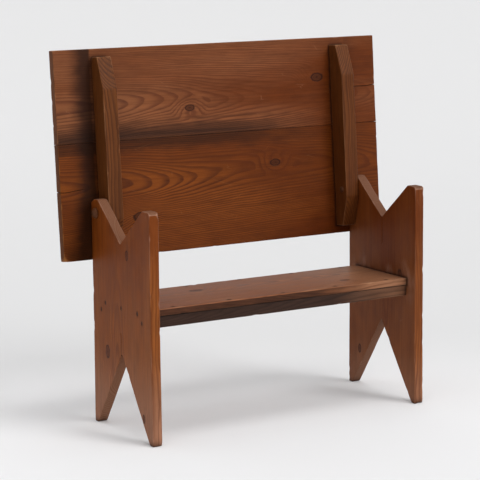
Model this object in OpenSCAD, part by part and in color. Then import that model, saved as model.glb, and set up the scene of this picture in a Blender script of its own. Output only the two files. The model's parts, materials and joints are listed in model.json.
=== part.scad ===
// Bench table: plank ends carry a seat, and a board top that swings on two wooden pins.
// It is drawn as a bench, with the top up and leaning back on the ends' rear edges.

/* [Plank ends] */
// Height of a plank end
end_h = 686; // [650:2:740]
// Depth of a plank end, front to back
end_d = 361; // [340:1:400]
// Thickness of a plank end
end_t = 32; // [28:1:38]
// Width over the outer faces of the two ends
ends_w = 965; // [880:5:1040]
// Height of the V sawn out between the feet
foot_vee_h = 242; // [200:2:270]
// Depth of a foot's sole, front to back
sole_d = 19; // [15:1:40]
// Spread of a foot past the edge of the plank
foot_flare = 3; // [1:0.5:6]
// Height of the V sawn out of an end's top
top_vee_h = 115; // [90:1:130]
// Depth of a tip beside that V, front to back
tip_d = 43; // [40:1:60]
// Radius of the front tip's outer corner
tip_round = 10; // [4:1:16]

/* [Seat] */
// Height of the seat's upper face above the floor
seat_z = 395; // [370:1:420]
// Depth of the seat board, front to back
seat_d = 278; // [240:2:310]
// Thickness of the seat board
seat_t = 22; // [18:1:26]
// Length of the tongue at each end of the seat board
seat_tongue_l = 10; // [6:1:14]
// Thickness of the seat board's tongues
seat_tongue_t = 14; // [8:1:16]

/* [Rails] */
// Height of a rail under the seat
rail_h = 34; // [28:1:60]
// Thickness of a rail
rail_t = 20; // [16:1:28]
// Setback of a rail's outer face from the seat's edge
rail_setback = 2; // [0:0.5:10]
// Length of the stub tenon at each end of a rail
tenon_l = 10; // [6:1:14]
// Shoulder round a rail's tenon
tenon_shoulder = 4; // [2:0.5:6]

/* [Table top] */
// Length of the table top
top_l = 1150; // [1050:5:1240]
// Width of the table top, across its boards
top_w = 630; // [570:2:720]
// Thickness of the top's boards
top_t = 27; // [22:1:34]
// Width of the board that hangs lower when the top is up
lower_board_w = 350; // [310:2:400]
// Open seam between the two boards
seam = 0.8; // [0.2:0.2:1.6]
// Length of the tongue on the upper board
board_tongue_l = 10; // [6:1:14]
// Thickness of the upper board's tongue
board_tongue_t = 9; // [6:1:12]

/* [Cleats] */
// Height of a cleat off the boards
cleat_h = 67; // [60:1:80]
// Width of a cleat
cleat_w = 48; // [40:1:60]
// Distance from a cleat's tip to the top's long edge
cleat_inset = 25; // [10:1:50]
// Length of the bevel at each tip of a cleat
cleat_bevel_l = 96; // [60:2:100]
// Height of a cleat at its tips
cleat_tip_h = 38; // [26:1:50]

/* [Pivot] */
// Distance from an end's rear edge to the pivot
pivot_in = 31; // [26:1:33]
// Drop from an end's tips to the pivot
pivot_drop = 42; // [38:1:48]
// Distance along the top from the pivot to its lower edge
pivot_to_edge = 143; // [130:1:165]
// Diameter of a pivot pin's shank
pin_d = 19; // [14:1:22]
// Length of a pin that stands out of the cleat
pin_proud = 4; // [1:0.5:8]
// Chamfer round the tip of a pin
pin_chamfer = 2; // [0.5:0.5:3]
// Diameter of a pin's turned head
pin_head_d = 32; // [26:1:40]
// Thickness of the head's rim
pin_rim_t = 5; // [3:1:8]
// Rise of the head's dome above its rim
pin_dome_h = 7; // [4:1:10]

/* [Nails] */
// Width of a cut nail's shank below its head
nail_w = 4; // [3:0.2:5]
// Thickness of a cut nail's shank
nail_t = 2.6; // [2:0.2:3.4]
// Length of a nail's head
nail_head_l = 9; // [7:0.5:12]
// Width of a nail's head
nail_head_w = 6; // [5:0.5:8]
// Thickness of a nail's head
nail_head_t = 1.6; // [1:0.2:2.4]
// Depth to which a nail's head is set below the wood
nail_set = 0.4; // [0.2:0.1:1]
// Length of a nail past the end that it is driven through
nail_bite = 32; // [20:1:40]
// Number of nails from the seat into each rail
rail_nail_count = 5; // [3:1:7]

/* [Fits] */
// Gap between the top and what it rests on
rest_gap = 0.3; // [0.2:0.1:0.6]
// Gap between a cleat and the end beside it
side_gap = 0.8; // [0.4:0.1:0.9]
// Play round a pivot pin in its bores
pin_play = 0.08; // [0.04:0.02:0.1]
// Play round a tongue or tenon in its housing
joint_play = 0.1; // [0.05:0.05:0.3]
// Play round a nail in its hole
nail_play = 0.05; // [0.02:0.01:0.1]

/* [Hidden] */

// Facets of a full circle
$fn = 96;
// Length by which every cut runs past the face that it opens
overrun = 5;

// Places of the seat's end nails, as shares of the seat's depth from its middle
seat_nail_shares = [-0.36, 0, 0.36];
// Places of the outermost nails into a rail, as a share of the rail's length from its middle
rail_nail_reach_share = 0.42;
// Depth that a seat nail reaches into a rail, as a share of the rail's height
rail_bite_share = 0.7;
// Depth that a cleat nail reaches into a cleat, as a share of the height at its tip
cleat_bite_share = 0.8;
// Place of the lower board's rear nail, as a share of the way from the pivot to the cleat's tip
rear_nail_share = 0.72;
// Places of the lower board's other nails, as shares of the way from the pivot to the seam
lower_nail_shares = [0.3, 0.85];
// Places of the upper board's nails, as shares of its width from the seam
upper_nail_shares = [0.14, 0.5, 0.82];
// Stagger of the nails to either side of a cleat's middle, as a share of its width
stagger_share = 0.17;
// Width of a nail at its tip, as a share of its width below the head
nail_tip_share = 0.5;

// Inner faces of the ends, and the clear width between them
inner_x = ends_w / 2 - end_t;
inner_w = 2 * inner_x;
// Underside of the seat board
seat_under_z = seat_z - seat_t;
// Middle of a rail's thickness, from the seat's middle
rail_y = seat_d / 2 - rail_setback - rail_t / 2;
// The pivot, from the middle of an end's depth and from the floor
pivot_y = end_d / 2 - pivot_in;
pivot_z = end_h - pivot_drop;
// Distance from the pivot to the underside of the top
under_a = pivot_drop + rest_gap;
// Lean of the top when its lower edge meets the ends' rear edges
edge_reach = sqrt(under_a * under_a + pivot_to_edge * pivot_to_edge);
lean = acos((pivot_in + rest_gap) / edge_reach) - atan2(pivot_to_edge, under_a);
// Turn of the top from flat to leaning back
swing = 90 + lean;
// The seam and the far edge of the top, forward of the pivot
seam_y = lower_board_w - pivot_to_edge;
far_y = top_w - pivot_to_edge;
upper_board_w = far_y - seam_y - seam;
// The two tips of a cleat, behind and forward of the pivot
cleat_rear_y = pivot_to_edge - cleat_inset;
cleat_front_y = far_y - cleat_inset;
// Middle of a cleat's width
cleat_x = inner_x - side_gap - cleat_w / 2;
// Length of the nails that hold the seat, the rails and the cleats
end_nail_l = end_t + nail_bite;
seat_nail_l = seat_t + rail_bite_share * rail_h;
cleat_nail_l = top_t + cleat_bite_share * cleat_tip_h;
// Length of a pin's shank from the end's outer face
pin_l = end_t + side_gap + cleat_w + pin_proud;
// Front and rear limits of the whole piece, which the origin lies midway between
front_y = -(end_d / 2 + foot_flare);
rear_y = pivot_y + (under_a + top_t) * cos(lean) + far_y * sin(lean);
centre_y = (front_y + rear_y) / 2;

// The colours of old varnished pine, its darker boards, the pins and iron
pine = [0.44, 0.24, 0.12];
dark_pine = [0.38, 0.2, 0.1];
seat_pine = [0.48, 0.31, 0.22];
pin_wood = [0.34, 0.19, 0.11];
iron = [0.14, 0.12, 0.11];

// Moves the model so that its origin lies under the middle of its box
module framed() {
    translate([0, -centre_y, 0]) children();
}

// Stands a child drawn round the pivot, with the top flat, in the bench position
module swung() {
    framed() translate([0, pivot_y, pivot_z]) rotate([-swing, 0, 0]) children();
}

// Mirrors a child of the right side to the left side, where side is -1
module on_side(side) {
    mirror([side < 0 ? 1 : 0, 0, 0]) children();
}

// A cut nail along -Z, its head's upper face at z = 0, all its faces grown by play
module nail(length, play) {
    translate([-nail_head_l / 2 - play, -nail_head_w / 2 - play, -nail_head_t - play])
        cube([nail_head_l + 2 * play, nail_head_w + 2 * play, nail_head_t + play]);
    rotate([90, 0, 0])
        translate([0, 0, -nail_t / 2 - play])
            linear_extrude(nail_t + 2 * play)
                polygon([
                    [-nail_w / 2 - play, 0],
                    [nail_w / 2 + play, 0],
                    [nail_tip_share * nail_w / 2 + play, -length - play],
                    [-nail_tip_share * nail_w / 2 - play, -length - play]]);
}

// A nail set into a face at z = 0
module set_nail(length) {
    translate([0, 0, -nail_set]) nail(length - nail_set, 0);
}

// The hole of a nail set into a face at z = 0
module nail_hole(length) {
    translate([0, 0, -nail_set]) {
        nail(length - nail_set, nail_play);
        translate([-nail_head_l / 2 - nail_play, -nail_head_w / 2 - nail_play, -nail_head_t / 2])
            cube([nail_head_l + 2 * nail_play, nail_head_w + 2 * nail_play, overrun]);
    }
}

// Outline of a plank end in its depth and height, with both V cuts
module end_outline() {
    difference() {
        union() {
            translate([-end_d / 2, 0]) square([end_d, end_h]);
            polygon([
                [-end_d / 2 - foot_flare, 0],
                [end_d / 2 + foot_flare, 0],
                [end_d / 2, foot_vee_h],
                [-end_d / 2, foot_vee_h]]);
        }
        foot_vee();
        top_vee();
        rear_relief();
        front_relief();
    }
}

// The V between the feet
module foot_vee() {
    half_w = end_d / 2 + foot_flare - sole_d;
    slope = half_w / foot_vee_h;
    polygon([
        [-half_w - slope * overrun, -overrun],
        [half_w + slope * overrun, -overrun],
        [0, foot_vee_h]]);
}

// The V in the top of an end
module top_vee() {
    half_w = end_d / 2 - tip_d;
    slope = half_w / top_vee_h;
    polygon([
        [-half_w - slope * overrun, end_h + overrun],
        [half_w + slope * overrun, end_h + overrun],
        [0, end_h - top_vee_h]]);
}

// The rear tip's corner, rounded about the pivot so that the top swings past it
module rear_relief() {
    translate([pivot_y, pivot_z]) difference() {
        square([pivot_in + overrun, pivot_drop + overrun]);
        circle(r = pivot_drop);
    }
}

// The front tip's corner
module front_relief() {
    translate([-end_d / 2 + tip_round, end_h - tip_round]) mirror([1, 0]) difference() {
        square([tip_round + overrun, tip_round + overrun]);
        circle(r = tip_round);
    }
}

// A plank end on the right side, with its housings, bore and nail holes
module plank_end() {
    difference() {
        translate([inner_x, 0, 0]) rotate([90, 0, 90]) linear_extrude(end_t) end_outline();
        seat_housing();
        rail_mortises();
        pin_bore();
        end_nail_places(seat_nail_ys(), seat_tongue_z()) nail_hole(end_nail_l);
        end_nail_places([-rail_y, rail_y], rail_mid_z()) nail_hole(end_nail_l);
    }
}

// Height of the middle of the seat's tongues, and of the rails
function seat_tongue_z() = seat_under_z + seat_tongue_t / 2;
function rail_mid_z() = seat_under_z - rail_h / 2;

// Places in depth of the nails into the seat's ends
function seat_nail_ys() = [for (share = seat_nail_shares) share * seat_d];

// Children at the nails of the right end, on its outer face, pointing inward
module end_nail_places(ys, z) {
    for (y = ys)
        translate([ends_w / 2, y, z]) rotate([0, 90, 0]) children();
}

// The stopped housing for the seat's tongue
module seat_housing() {
    translate([inner_x - overrun, -seat_d / 2 - joint_play, seat_under_z])
        cube([seat_tongue_l + joint_play + overrun, seat_d + 2 * joint_play, seat_tongue_t + joint_play]);
}

// The mortises for the tenons of both rails
module rail_mortises() {
    for (y = [-rail_y, rail_y])
        translate([inner_x - overrun, y - tenon_t() / 2 - joint_play, rail_mid_z() - tenon_h() / 2 - joint_play])
            cube([tenon_l + joint_play + overrun, tenon_t() + 2 * joint_play, tenon_h() + 2 * joint_play]);
}

// Thickness and height of a rail's tenon
function tenon_t() = rail_t - 2 * tenon_shoulder;
function tenon_h() = rail_h - 2 * tenon_shoulder;

// The bore for a pivot pin, through an end and its cleat
module pin_bore() {
    translate([0, pivot_y, pivot_z]) pivot_hole();
}

// That bore drawn round the pivot
module pivot_hole() {
    translate([inner_x - side_gap - cleat_w - overrun, 0, 0])
        rotate([0, 90, 0])
            cylinder(d = pin_d + 2 * pin_play, h = cleat_w + side_gap + end_t + 2 * overrun);
}

// The two plank ends
module left_end() {
    color(dark_pine) framed() on_side(-1) plank_end();
}

module right_end() {
    color(dark_pine) framed() on_side(1) plank_end();
}

// The seat board, with a tongue along the underside of each end
module seat_board() {
    color(seat_pine) framed() difference() {
        union() {
            translate([-inner_x, -seat_d / 2, seat_under_z]) cube([inner_w, seat_d, seat_t]);
            translate([-inner_x - seat_tongue_l, -seat_d / 2, seat_under_z])
                cube([inner_w + 2 * seat_tongue_l, seat_d, seat_tongue_t]);
        }
        rail_nail_places() nail_hole(seat_nail_l);
        for (side = [-1, 1])
            on_side(side) end_nail_places(seat_nail_ys(), seat_tongue_z()) nail_hole(end_nail_l);
    }
}

// Children at the nails of both rails, on the seat's upper face, pointing down
module rail_nail_places() {
    pitch = 2 * rail_nail_reach_share * inner_w / (rail_nail_count - 1);
    for (y = [-rail_y, rail_y], i = [0 : rail_nail_count - 1])
        translate([-rail_nail_reach_share * inner_w + i * pitch, y, seat_z]) children();
}

// A rail with a stub tenon at each end, its middle at the given depth
module rail(y) {
    difference() {
        union() {
            translate([-inner_x, y - rail_t / 2, seat_under_z - rail_h]) cube([inner_w, rail_t, rail_h]);
            translate([-inner_x - tenon_l, y - tenon_t() / 2, rail_mid_z() - tenon_h() / 2])
                cube([inner_w + 2 * tenon_l, tenon_t(), tenon_h()]);
        }
        rail_nail_places() nail_hole(seat_nail_l);
        for (side = [-1, 1])
            on_side(side) end_nail_places([-rail_y, rail_y], rail_mid_z()) nail_hole(end_nail_l);
    }
}

module front_rail() {
    color(dark_pine) framed() rail(-rail_y);
}

module back_rail() {
    color(dark_pine) framed() rail(rail_y);
}

// The board that hangs lower when the top is up, grooved along its forward edge
module lower_top_board() {
    color(pine) swung() difference() {
        translate([-top_l / 2, -seam_y, under_a]) cube([top_l, lower_board_w, top_t]);
        translate([-top_l / 2 - overrun, -seam_y - overrun, board_tongue_z() - joint_play])
            cube([top_l + 2 * overrun, board_tongue_l + joint_play + overrun, board_tongue_t + 2 * joint_play]);
        both_cleat_nail_places() nail_hole(cleat_nail_l);
    }
}

// The upper board, with a tongue along its rear edge
module upper_top_board() {
    color(pine) swung() difference() {
        union() {
            translate([-top_l / 2, -far_y, under_a]) cube([top_l, upper_board_w, top_t]);
            translate([-top_l / 2, -seam_y - seam - overrun, board_tongue_z()])
                cube([top_l, overrun + seam + board_tongue_l, board_tongue_t]);
        }
        both_cleat_nail_places() nail_hole(cleat_nail_l);
    }
}

// Lower face of the tongue between the boards, drawn round the pivot
function board_tongue_z() = under_a + (top_t - board_tongue_t) / 2;

// Places of a cleat's nails, drawn round the pivot
function cleat_nail_ys() = concat(
    [rear_nail_share * cleat_rear_y],
    [for (share = lower_nail_shares) -share * seam_y],
    [for (share = upper_nail_shares) -seam_y - seam - share * upper_board_w]);

// Children at the nails of the right cleat, on the boards' outer face, pointing at the cleat
module cleat_nail_places() {
    ys = cleat_nail_ys();
    for (i = [0 : len(ys) - 1])
        translate([cleat_x + (i % 2 == 0 ? 1 : -1) * stagger_share * cleat_w, ys[i], under_a + top_t])
            children();
}

module both_cleat_nail_places() {
    for (side = [-1, 1])
        on_side(side) cleat_nail_places() children();
}

// The right cleat, drawn round the pivot with the top flat
module cleat() {
    difference() {
        translate([cleat_x - cleat_w / 2, 0, 0]) rotate([90, 0, 90]) linear_extrude(cleat_w) cleat_outline();
        pivot_hole();
        cleat_nail_places() nail_hole(cleat_nail_l);
    }
}

// Outline of a cleat along its length and height, bevelled at both tips
module cleat_outline() {
    polygon([
        [cleat_rear_y, under_a],
        [cleat_rear_y, under_a - cleat_tip_h],
        [cleat_rear_y - cleat_bevel_l, under_a - cleat_h],
        [-cleat_front_y + cleat_bevel_l, under_a - cleat_h],
        [-cleat_front_y, under_a - cleat_tip_h],
        [-cleat_front_y, under_a]]);
}

module left_cleat() {
    color(dark_pine) swung() on_side(-1) cleat();
}

module right_cleat() {
    color(dark_pine) swung() on_side(1) cleat();
}

// The right pivot pin, its domed head outside the end and its chamfered tip past the cleat
module pivot_pin() {
    dome_r = (pin_head_d * pin_head_d / 4 + pin_dome_h * pin_dome_h) / (2 * pin_dome_h);
    translate([ends_w / 2, pivot_y, pivot_z]) rotate([0, -90, 0]) {
        translate([0, 0, -rest_gap - overrun / 2])
            cylinder(d = pin_d, h = rest_gap + overrun / 2 + pin_l - pin_chamfer);
        translate([0, 0, pin_l - pin_chamfer])
            cylinder(d1 = pin_d, d2 = pin_d - 2 * pin_chamfer, h = pin_chamfer);
        translate([0, 0, -rest_gap - pin_rim_t]) cylinder(d = pin_head_d, h = pin_rim_t);
        translate([0, 0, -rest_gap - pin_rim_t]) intersection() {
            translate([0, 0, dome_r - pin_dome_h]) sphere(r = dome_r);
            translate([0, 0, -pin_dome_h]) cylinder(d = pin_head_d, h = pin_dome_h);
        }
    }
}

module left_pivot_pin() {
    color(pin_wood) framed() on_side(-1) pivot_pin();
}

module right_pivot_pin() {
    color(pin_wood) framed() on_side(1) pivot_pin();
}

// The nails, one node for each row of like ones
module left_seat_nails() {
    color(iron) framed() on_side(-1) end_nail_places(seat_nail_ys(), seat_tongue_z()) set_nail(end_nail_l);
}

module right_seat_nails() {
    color(iron) framed() on_side(1) end_nail_places(seat_nail_ys(), seat_tongue_z()) set_nail(end_nail_l);
}

module left_rail_nails() {
    color(iron) framed() on_side(-1) end_nail_places([-rail_y, rail_y], rail_mid_z()) set_nail(end_nail_l);
}

module right_rail_nails() {
    color(iron) framed() on_side(1) end_nail_places([-rail_y, rail_y], rail_mid_z()) set_nail(end_nail_l);
}

module seat_rail_nails() {
    color(iron) framed() rail_nail_places() set_nail(seat_nail_l);
}

module left_cleat_nails() {
    color(iron) swung() on_side(-1) cleat_nail_places() set_nail(cleat_nail_l);
}

module right_cleat_nails() {
    color(iron) swung() on_side(1) cleat_nail_places() set_nail(cleat_nail_l);
}

left_end();
right_end();
seat_board();
front_rail();
back_rail();
lower_top_board();
upper_top_board();
left_cleat();
right_cleat();
left_pivot_pin();
right_pivot_pin();
left_seat_nails();
right_seat_nails();
left_rail_nails();
right_rail_nails();
seat_rail_nails();
left_cleat_nails();
right_cleat_nails();
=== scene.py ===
"""Dresses a bench table: old varnished pine boards, turned pins and cut nails, in a pale studio."""

import json
import logging
import math
from collections.abc import Callable, Iterable
from dataclasses import dataclass, field
from enum import Enum

import bmesh
import bpy
import numpy as np
from mathutils import Matrix, Vector
from mathutils.kdtree import KDTree


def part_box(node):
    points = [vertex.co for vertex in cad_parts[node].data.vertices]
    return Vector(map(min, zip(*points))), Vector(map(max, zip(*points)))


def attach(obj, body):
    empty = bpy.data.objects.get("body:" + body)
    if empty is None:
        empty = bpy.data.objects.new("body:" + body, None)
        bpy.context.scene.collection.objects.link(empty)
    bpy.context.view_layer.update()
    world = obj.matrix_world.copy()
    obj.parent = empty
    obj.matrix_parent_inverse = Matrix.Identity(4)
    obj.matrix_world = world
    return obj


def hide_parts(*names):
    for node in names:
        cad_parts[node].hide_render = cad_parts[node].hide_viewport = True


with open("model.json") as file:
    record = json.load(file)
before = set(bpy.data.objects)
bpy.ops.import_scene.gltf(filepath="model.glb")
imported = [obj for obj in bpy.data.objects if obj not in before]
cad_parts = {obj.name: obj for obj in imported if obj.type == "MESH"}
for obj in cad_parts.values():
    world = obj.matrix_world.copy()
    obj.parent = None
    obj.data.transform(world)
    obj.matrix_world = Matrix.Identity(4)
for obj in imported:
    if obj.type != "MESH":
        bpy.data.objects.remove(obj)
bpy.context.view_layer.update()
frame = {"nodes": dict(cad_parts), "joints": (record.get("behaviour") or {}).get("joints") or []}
LOG = logging.getLogger("bench_table")

MM = 0.001

# How far to each side a sawn corner is softened, and how deep a point may lie and still be on a face
SAW_REACH = 3 * MM
SKIN = 2 * MM

# Lengths of the nails through the plank ends, the seat board and the top's boards
END_NAIL_L = 60 * MM
SEAT_NAIL_L = 42 * MM
TOP_NAIL_L = 52 * MM

WHITE = (1.0, 1.0, 1.0)
Array = np.ndarray
Bound = Callable[[Array], Array]
Tone = tuple[float, float, float]
Outputs = bpy.types.bpy_prop_collection


def tone(red: int, green: int, blue: int) -> Tone:
    """Turns a display colour into the linear colour that a shader takes.

    Args:
        red: Red from 0 to 255.
        green: Green from 0 to 255.
        blue: Blue from 0 to 255.

    Returns:
        The same colour, linear, each share from 0 to 1.
    """
    shares = [channel / 255 for channel in (red, green, blue)]
    return tuple(s / 12.92 if s <= 0.04045 else ((s + 0.055) / 1.055) ** 2.4 for s in shares)


# Shader maths

def add_node(
    tree: bpy.types.NodeTree,
    kind: str,
    settings: dict[str, object],
    values: dict[int | str, object],
) -> bpy.types.Node:
    """Adds a node to a tree, sets it, and fills its sockets.

    Args:
        tree: The tree.
        kind: The node's type.
        settings: Its properties, which are set first.
        values: A value or an output socket for each input, by index or name.

    Returns:
        The node.
    """
    made = tree.nodes.new(kind)
    for key, value in settings.items():
        setattr(made, key, value)
    for key, value in values.items():
        if isinstance(value, bpy.types.NodeSocket):
            tree.links.new(value, made.inputs[key])
        else:
            made.inputs[key].default_value = value
    return made


class Wire:
    """A number inside a material, so that Python's operators add its Math nodes."""

    def __init__(self, graph: "Graph", socket: bpy.types.NodeSocket) -> None:
        """Keeps the material's graph and the output socket that carries the number."""
        self.graph = graph
        self.socket = socket

    def _math(self, operation: str, *values: object) -> "Wire":
        """Adds a Math node over the values, in order."""
        return self.graph.node("ShaderNodeMath", {"operation": operation}, dict(enumerate(values)))

    def __add__(self, other: object) -> "Wire":
        """Adds."""
        return self._math("ADD", self, other)

    def __radd__(self, other: object) -> "Wire":
        """Adds, with the wire on the right."""
        return self._math("ADD", other, self)

    def __sub__(self, other: object) -> "Wire":
        """Takes away."""
        return self._math("SUBTRACT", self, other)

    def __rsub__(self, other: object) -> "Wire":
        """Takes the wire away from a number."""
        return self._math("SUBTRACT", other, self)

    def __mul__(self, other: object) -> "Wire":
        """Multiplies."""
        return self._math("MULTIPLY", self, other)

    def __rmul__(self, other: object) -> "Wire":
        """Multiplies, with the wire on the right."""
        return self._math("MULTIPLY", other, self)

    def __truediv__(self, other: object) -> "Wire":
        """Divides."""
        return self._math("DIVIDE", self, other)

    def beside(self, name: str) -> "Wire":
        """Gives another output of the same node."""
        return Wire(self.graph, self.socket.node.outputs[name])

    def root(self) -> "Wire":
        """Takes the square root."""
        return self._math("SQRT", self)

    def part(self) -> "Wire":
        """Keeps the part after the decimal point."""
        return self._math("FRACT", self)

    def size(self) -> "Wire":
        """Drops the sign."""
        return self._math("ABSOLUTE", self)

    def most(self, other: object) -> "Wire":
        """Keeps the larger of two numbers."""
        return self._math("MAXIMUM", self, other)

    def ease(self, low: float, high: float, first: float = 0.0, last: float = 1.0) -> "Wire":
        """Runs smoothly from one number to another as the wire goes from low to high.

        Args:
            low: The wire's number at which the result starts to change.
            high: The wire's number at which it stops.
            first: The result at low and before it.
            last: The result at high and past it.

        Returns:
            The eased number.
        """
        settings = {"interpolation_type": "SMOOTHSTEP"}
        return self.graph.node("ShaderNodeMapRange", settings, {0: self, 1: low, 2: high, 3: first, 4: last})


class Graph:
    """The nodes of one material or of the room, with one method that makes any of them."""

    def __init__(self, owner: bpy.types.Material | bpy.types.World) -> None:
        """Empties the owner's nodes and gives it an output node.

        Args:
            owner: The material or the room.
        """
        self.owner = owner
        owner.use_nodes = True
        self.tree = owner.node_tree
        self.tree.nodes.clear()
        kind = "ShaderNodeOutputWorld" if isinstance(owner, bpy.types.World) else "ShaderNodeOutputMaterial"
        self.end = self.tree.nodes.new(kind)

    def node(
        self,
        kind: str,
        settings: dict[str, object] | None = None,
        values: dict[int | str, object] | None = None,
        out: int | str = 0,
    ) -> Wire:
        """Makes a node, sets it, and fills its sockets.

        Args:
            kind: The node's type.
            settings: Its properties.
            values: A number, colour, vector or wire for each input, by index or name.
            out: The output that the result carries.

        Returns:
            A wire from that output.
        """
        given = {}
        for key, value in (values or {}).items():
            given[key] = value.socket if isinstance(value, Wire) else value
        return Wire(self, add_node(self.tree, kind, settings or {}, given).outputs[out])

    def ramp(self, share: Wire, *stops: tuple[float, Tone]) -> Wire:
        """Runs through a few colours as a wire goes from 0 to 1.

        Args:
            share: The wire.
            stops: Each colour with the number at which it is reached.

        Returns:
            The colour.
        """
        made = self.node("ShaderNodeValToRGB", None, {0: share})
        elements = made.socket.node.color_ramp.elements
        while len(elements) < len(stops):
            elements.new(1.0)
        for element, (place, colour) in zip(elements, stops):
            element.position = place
            element.color = (*colour, 1.0)
        return made

    def mix(self, share: object, first: object, second: object, way: str = "MIX") -> Wire:
        """Mixes two colours.

        Args:
            share: How much of the second colour, from 0 to 1.
            first: A linear colour or a wire.
            second: A linear colour or a wire.
            way: The blend type, such as MIX or MULTIPLY.

        Returns:
            The mixed colour.
        """
        colours = [c if isinstance(c, Wire) else (*c, 1.0) for c in (first, second)]
        settings = {"data_type": "RGBA", "blend_type": way, "clamp_factor": True}
        return self.node("ShaderNodeMix", settings, {0: share, 6: colours[0], 7: colours[1]}, 2)

    def placed(self, vector: Wire, scale: Iterable[float], seed: float) -> Wire:
        """Scales a vector along its axes and shifts it by a seed, to vary a texture from board to board.

        Args:
            vector: The vector, in metres.
            scale: Waves per metre along each axis.
            seed: The seed.

        Returns:
            The vector at which a texture is read.
        """
        shift = (seed, seed * 1.7 + 3.1, seed * 2.3 + 7.7)
        values = {"Vector": vector, "Location": shift, "Scale": tuple(scale)}
        return self.node("ShaderNodeMapping", None, values)

    def noise(self, vector: Wire, scale: Iterable[float], seed: float, detail: float = 2.0) -> Wire:
        """Reads noise, stretched along the axes.

        Args:
            vector: Where the noise is read, in metres.
            scale: Waves per metre along each axis.
            seed: A number that varies the noise from board to board.
            detail: How many finer waves are laid over it.

        Returns:
            Noise from 0 to 1, about 0.5 at its middle.
        """
        place = self.placed(vector, scale, seed)
        return self.node("ShaderNodeTexNoise", None, {"Vector": place, "Scale": 1.0, "Detail": detail})

    def mask(self, name: str) -> Wire:
        """Reads a number kept on the mesh under a name."""
        return self.node("ShaderNodeAttribute", {"attribute_name": name}, None, "Fac")

    def shown(self) -> Wire:
        """Gives 1 to rays that show a thing, also mirrored or through glass, and 0 to rays that light it."""
        rays = self.node("ShaderNodeLightPath", out="Is Camera Ray")
        return rays.most(rays.beside("Is Glossy Ray")).most(rays.beside("Is Transmission Ray"))

    def finish(self, shader: Wire) -> bpy.types.Material | bpy.types.World:
        """Joins a shader to the output and gives the material or the room."""
        self.tree.links.new(shader.socket, self.end.inputs["Surface"])
        return self.owner


# Finishes

class Grain(Enum):
    """Which way a board's grain runs, as the rows of its along, across and through axes."""

    ALONG_FLAT = ((1, 0, 0), (0, 1, 0), (0, 0, 1))
    ALONG_UPRIGHT = ((1, 0, 0), (0, 0, 1), (0, -1, 0))
    UP_THE_END = ((0, 0, 1), (0, 1, 0), (-1, 0, 0))
    UP_THE_CLEAT = ((0, 0, 1), (1, 0, 0), (0, 1, 0))

    def leaned(self, lean: float) -> Matrix:
        """Gives the axes as matrix rows, tipped back with the raised top.

        Args:
            lean: How far the board leans back, in radians.

        Returns:
            The rotation from the shared frame to the grain's.
        """
        return Matrix(self.value) @ Matrix.Rotation(lean, 3, "X")


@dataclass(frozen=True)
class Knot:
    """A knot in a board.

    Attributes:
        along: Its place along the grain from the board's middle, in metres.
        across: Its place across the grain from the board's middle, in metres.
        radius: Its radius, in metres.
    """

    along: float
    across: float
    radius: float


@dataclass(frozen=True)
class Stain:
    """A dark streak that runs with the grain.

    Attributes:
        across: Its middle across the grain from the board's middle, in metres.
        half_width: Its half width, in metres.
        start: Where it begins along the grain, in metres.
        stop: Where it has faded out along the grain, in metres.
        strength: How dark it is, from 0 to 1.
    """

    across: float
    half_width: float
    start: float
    stop: float
    strength: float


@dataclass(frozen=True)
class WoodTones:
    """The colours of one kind of old wood.

    Attributes:
        early: The wood between the rings' dark lines.
        late: The dark lines.
        patch: The tone that it drifts to in large patches.
        worn: Bare wood where hands and feet rubbed the varnish off.
        dirt_and_shade: The dark tone of what lies in corners, pores and cracks, also used for painted shade.
        cut_end: The wood where it was cut across the grain.
        knot: The wood of a knot.
    """

    early: Tone
    late: Tone
    patch: Tone
    worn: Tone
    dirt_and_shade: Tone
    cut_end: Tone
    knot: Tone


def wood_tones(*colours: tuple[int, int, int]) -> WoodTones:
    """Gathers display colours, given in the order of WoodTones' attributes, from early to knot."""
    return WoodTones(*(tone(*colour) for colour in colours))


# The upper board's tones are paler and greyer than the lower board's: a painted sheen of the varnish on the
# upper board.
UPPER_TONES = wood_tones(
    (128, 76, 45), (84, 43, 26), (98, 45, 11), (158, 108, 72), (32, 15, 8), (96, 58, 34), (74, 36, 16))
LOWER_TONES = wood_tones(
    (120, 61, 16), (74, 32, 8), (88, 37, 4), (154, 100, 52), (30, 13, 5), (92, 54, 26), (70, 32, 10))
END_TONES = wood_tones(
    (142, 80, 34), (96, 45, 16), (114, 55, 14), (168, 126, 104), (38, 18, 9), (122, 88, 68), (88, 40, 16))
# A little darker than END_TONES: painted shade on the right end, whose inner face the rest of the bench
# shades.
SHADED_RIGHT_END_TONES = wood_tones(
    (132, 76, 38), (90, 43, 18), (106, 50, 14), (160, 120, 100), (36, 18, 9), (116, 84, 66), (82, 38, 16))
SEAT_TONES = wood_tones(
    (140, 88, 58), (98, 56, 34), (126, 76, 52), (172, 130, 100), (40, 22, 14), (112, 76, 54), (86, 46, 28))
RAIL_TONES = wood_tones(
    (60, 41, 33), (40, 27, 21), (50, 34, 27), (126, 86, 62), (26, 18, 14), (62, 46, 38), (46, 30, 23))
CLEAT_TONES = wood_tones(
    (101, 56, 24), (66, 33, 12), (86, 41, 14), (150, 104, 70), (30, 14, 7), (100, 66, 44), (66, 32, 14))
PIN_TONES = wood_tones(
    (96, 56, 32), (66, 34, 18), (84, 44, 24), (150, 104, 70), (28, 14, 8), (84, 54, 36), (60, 30, 16))


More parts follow.
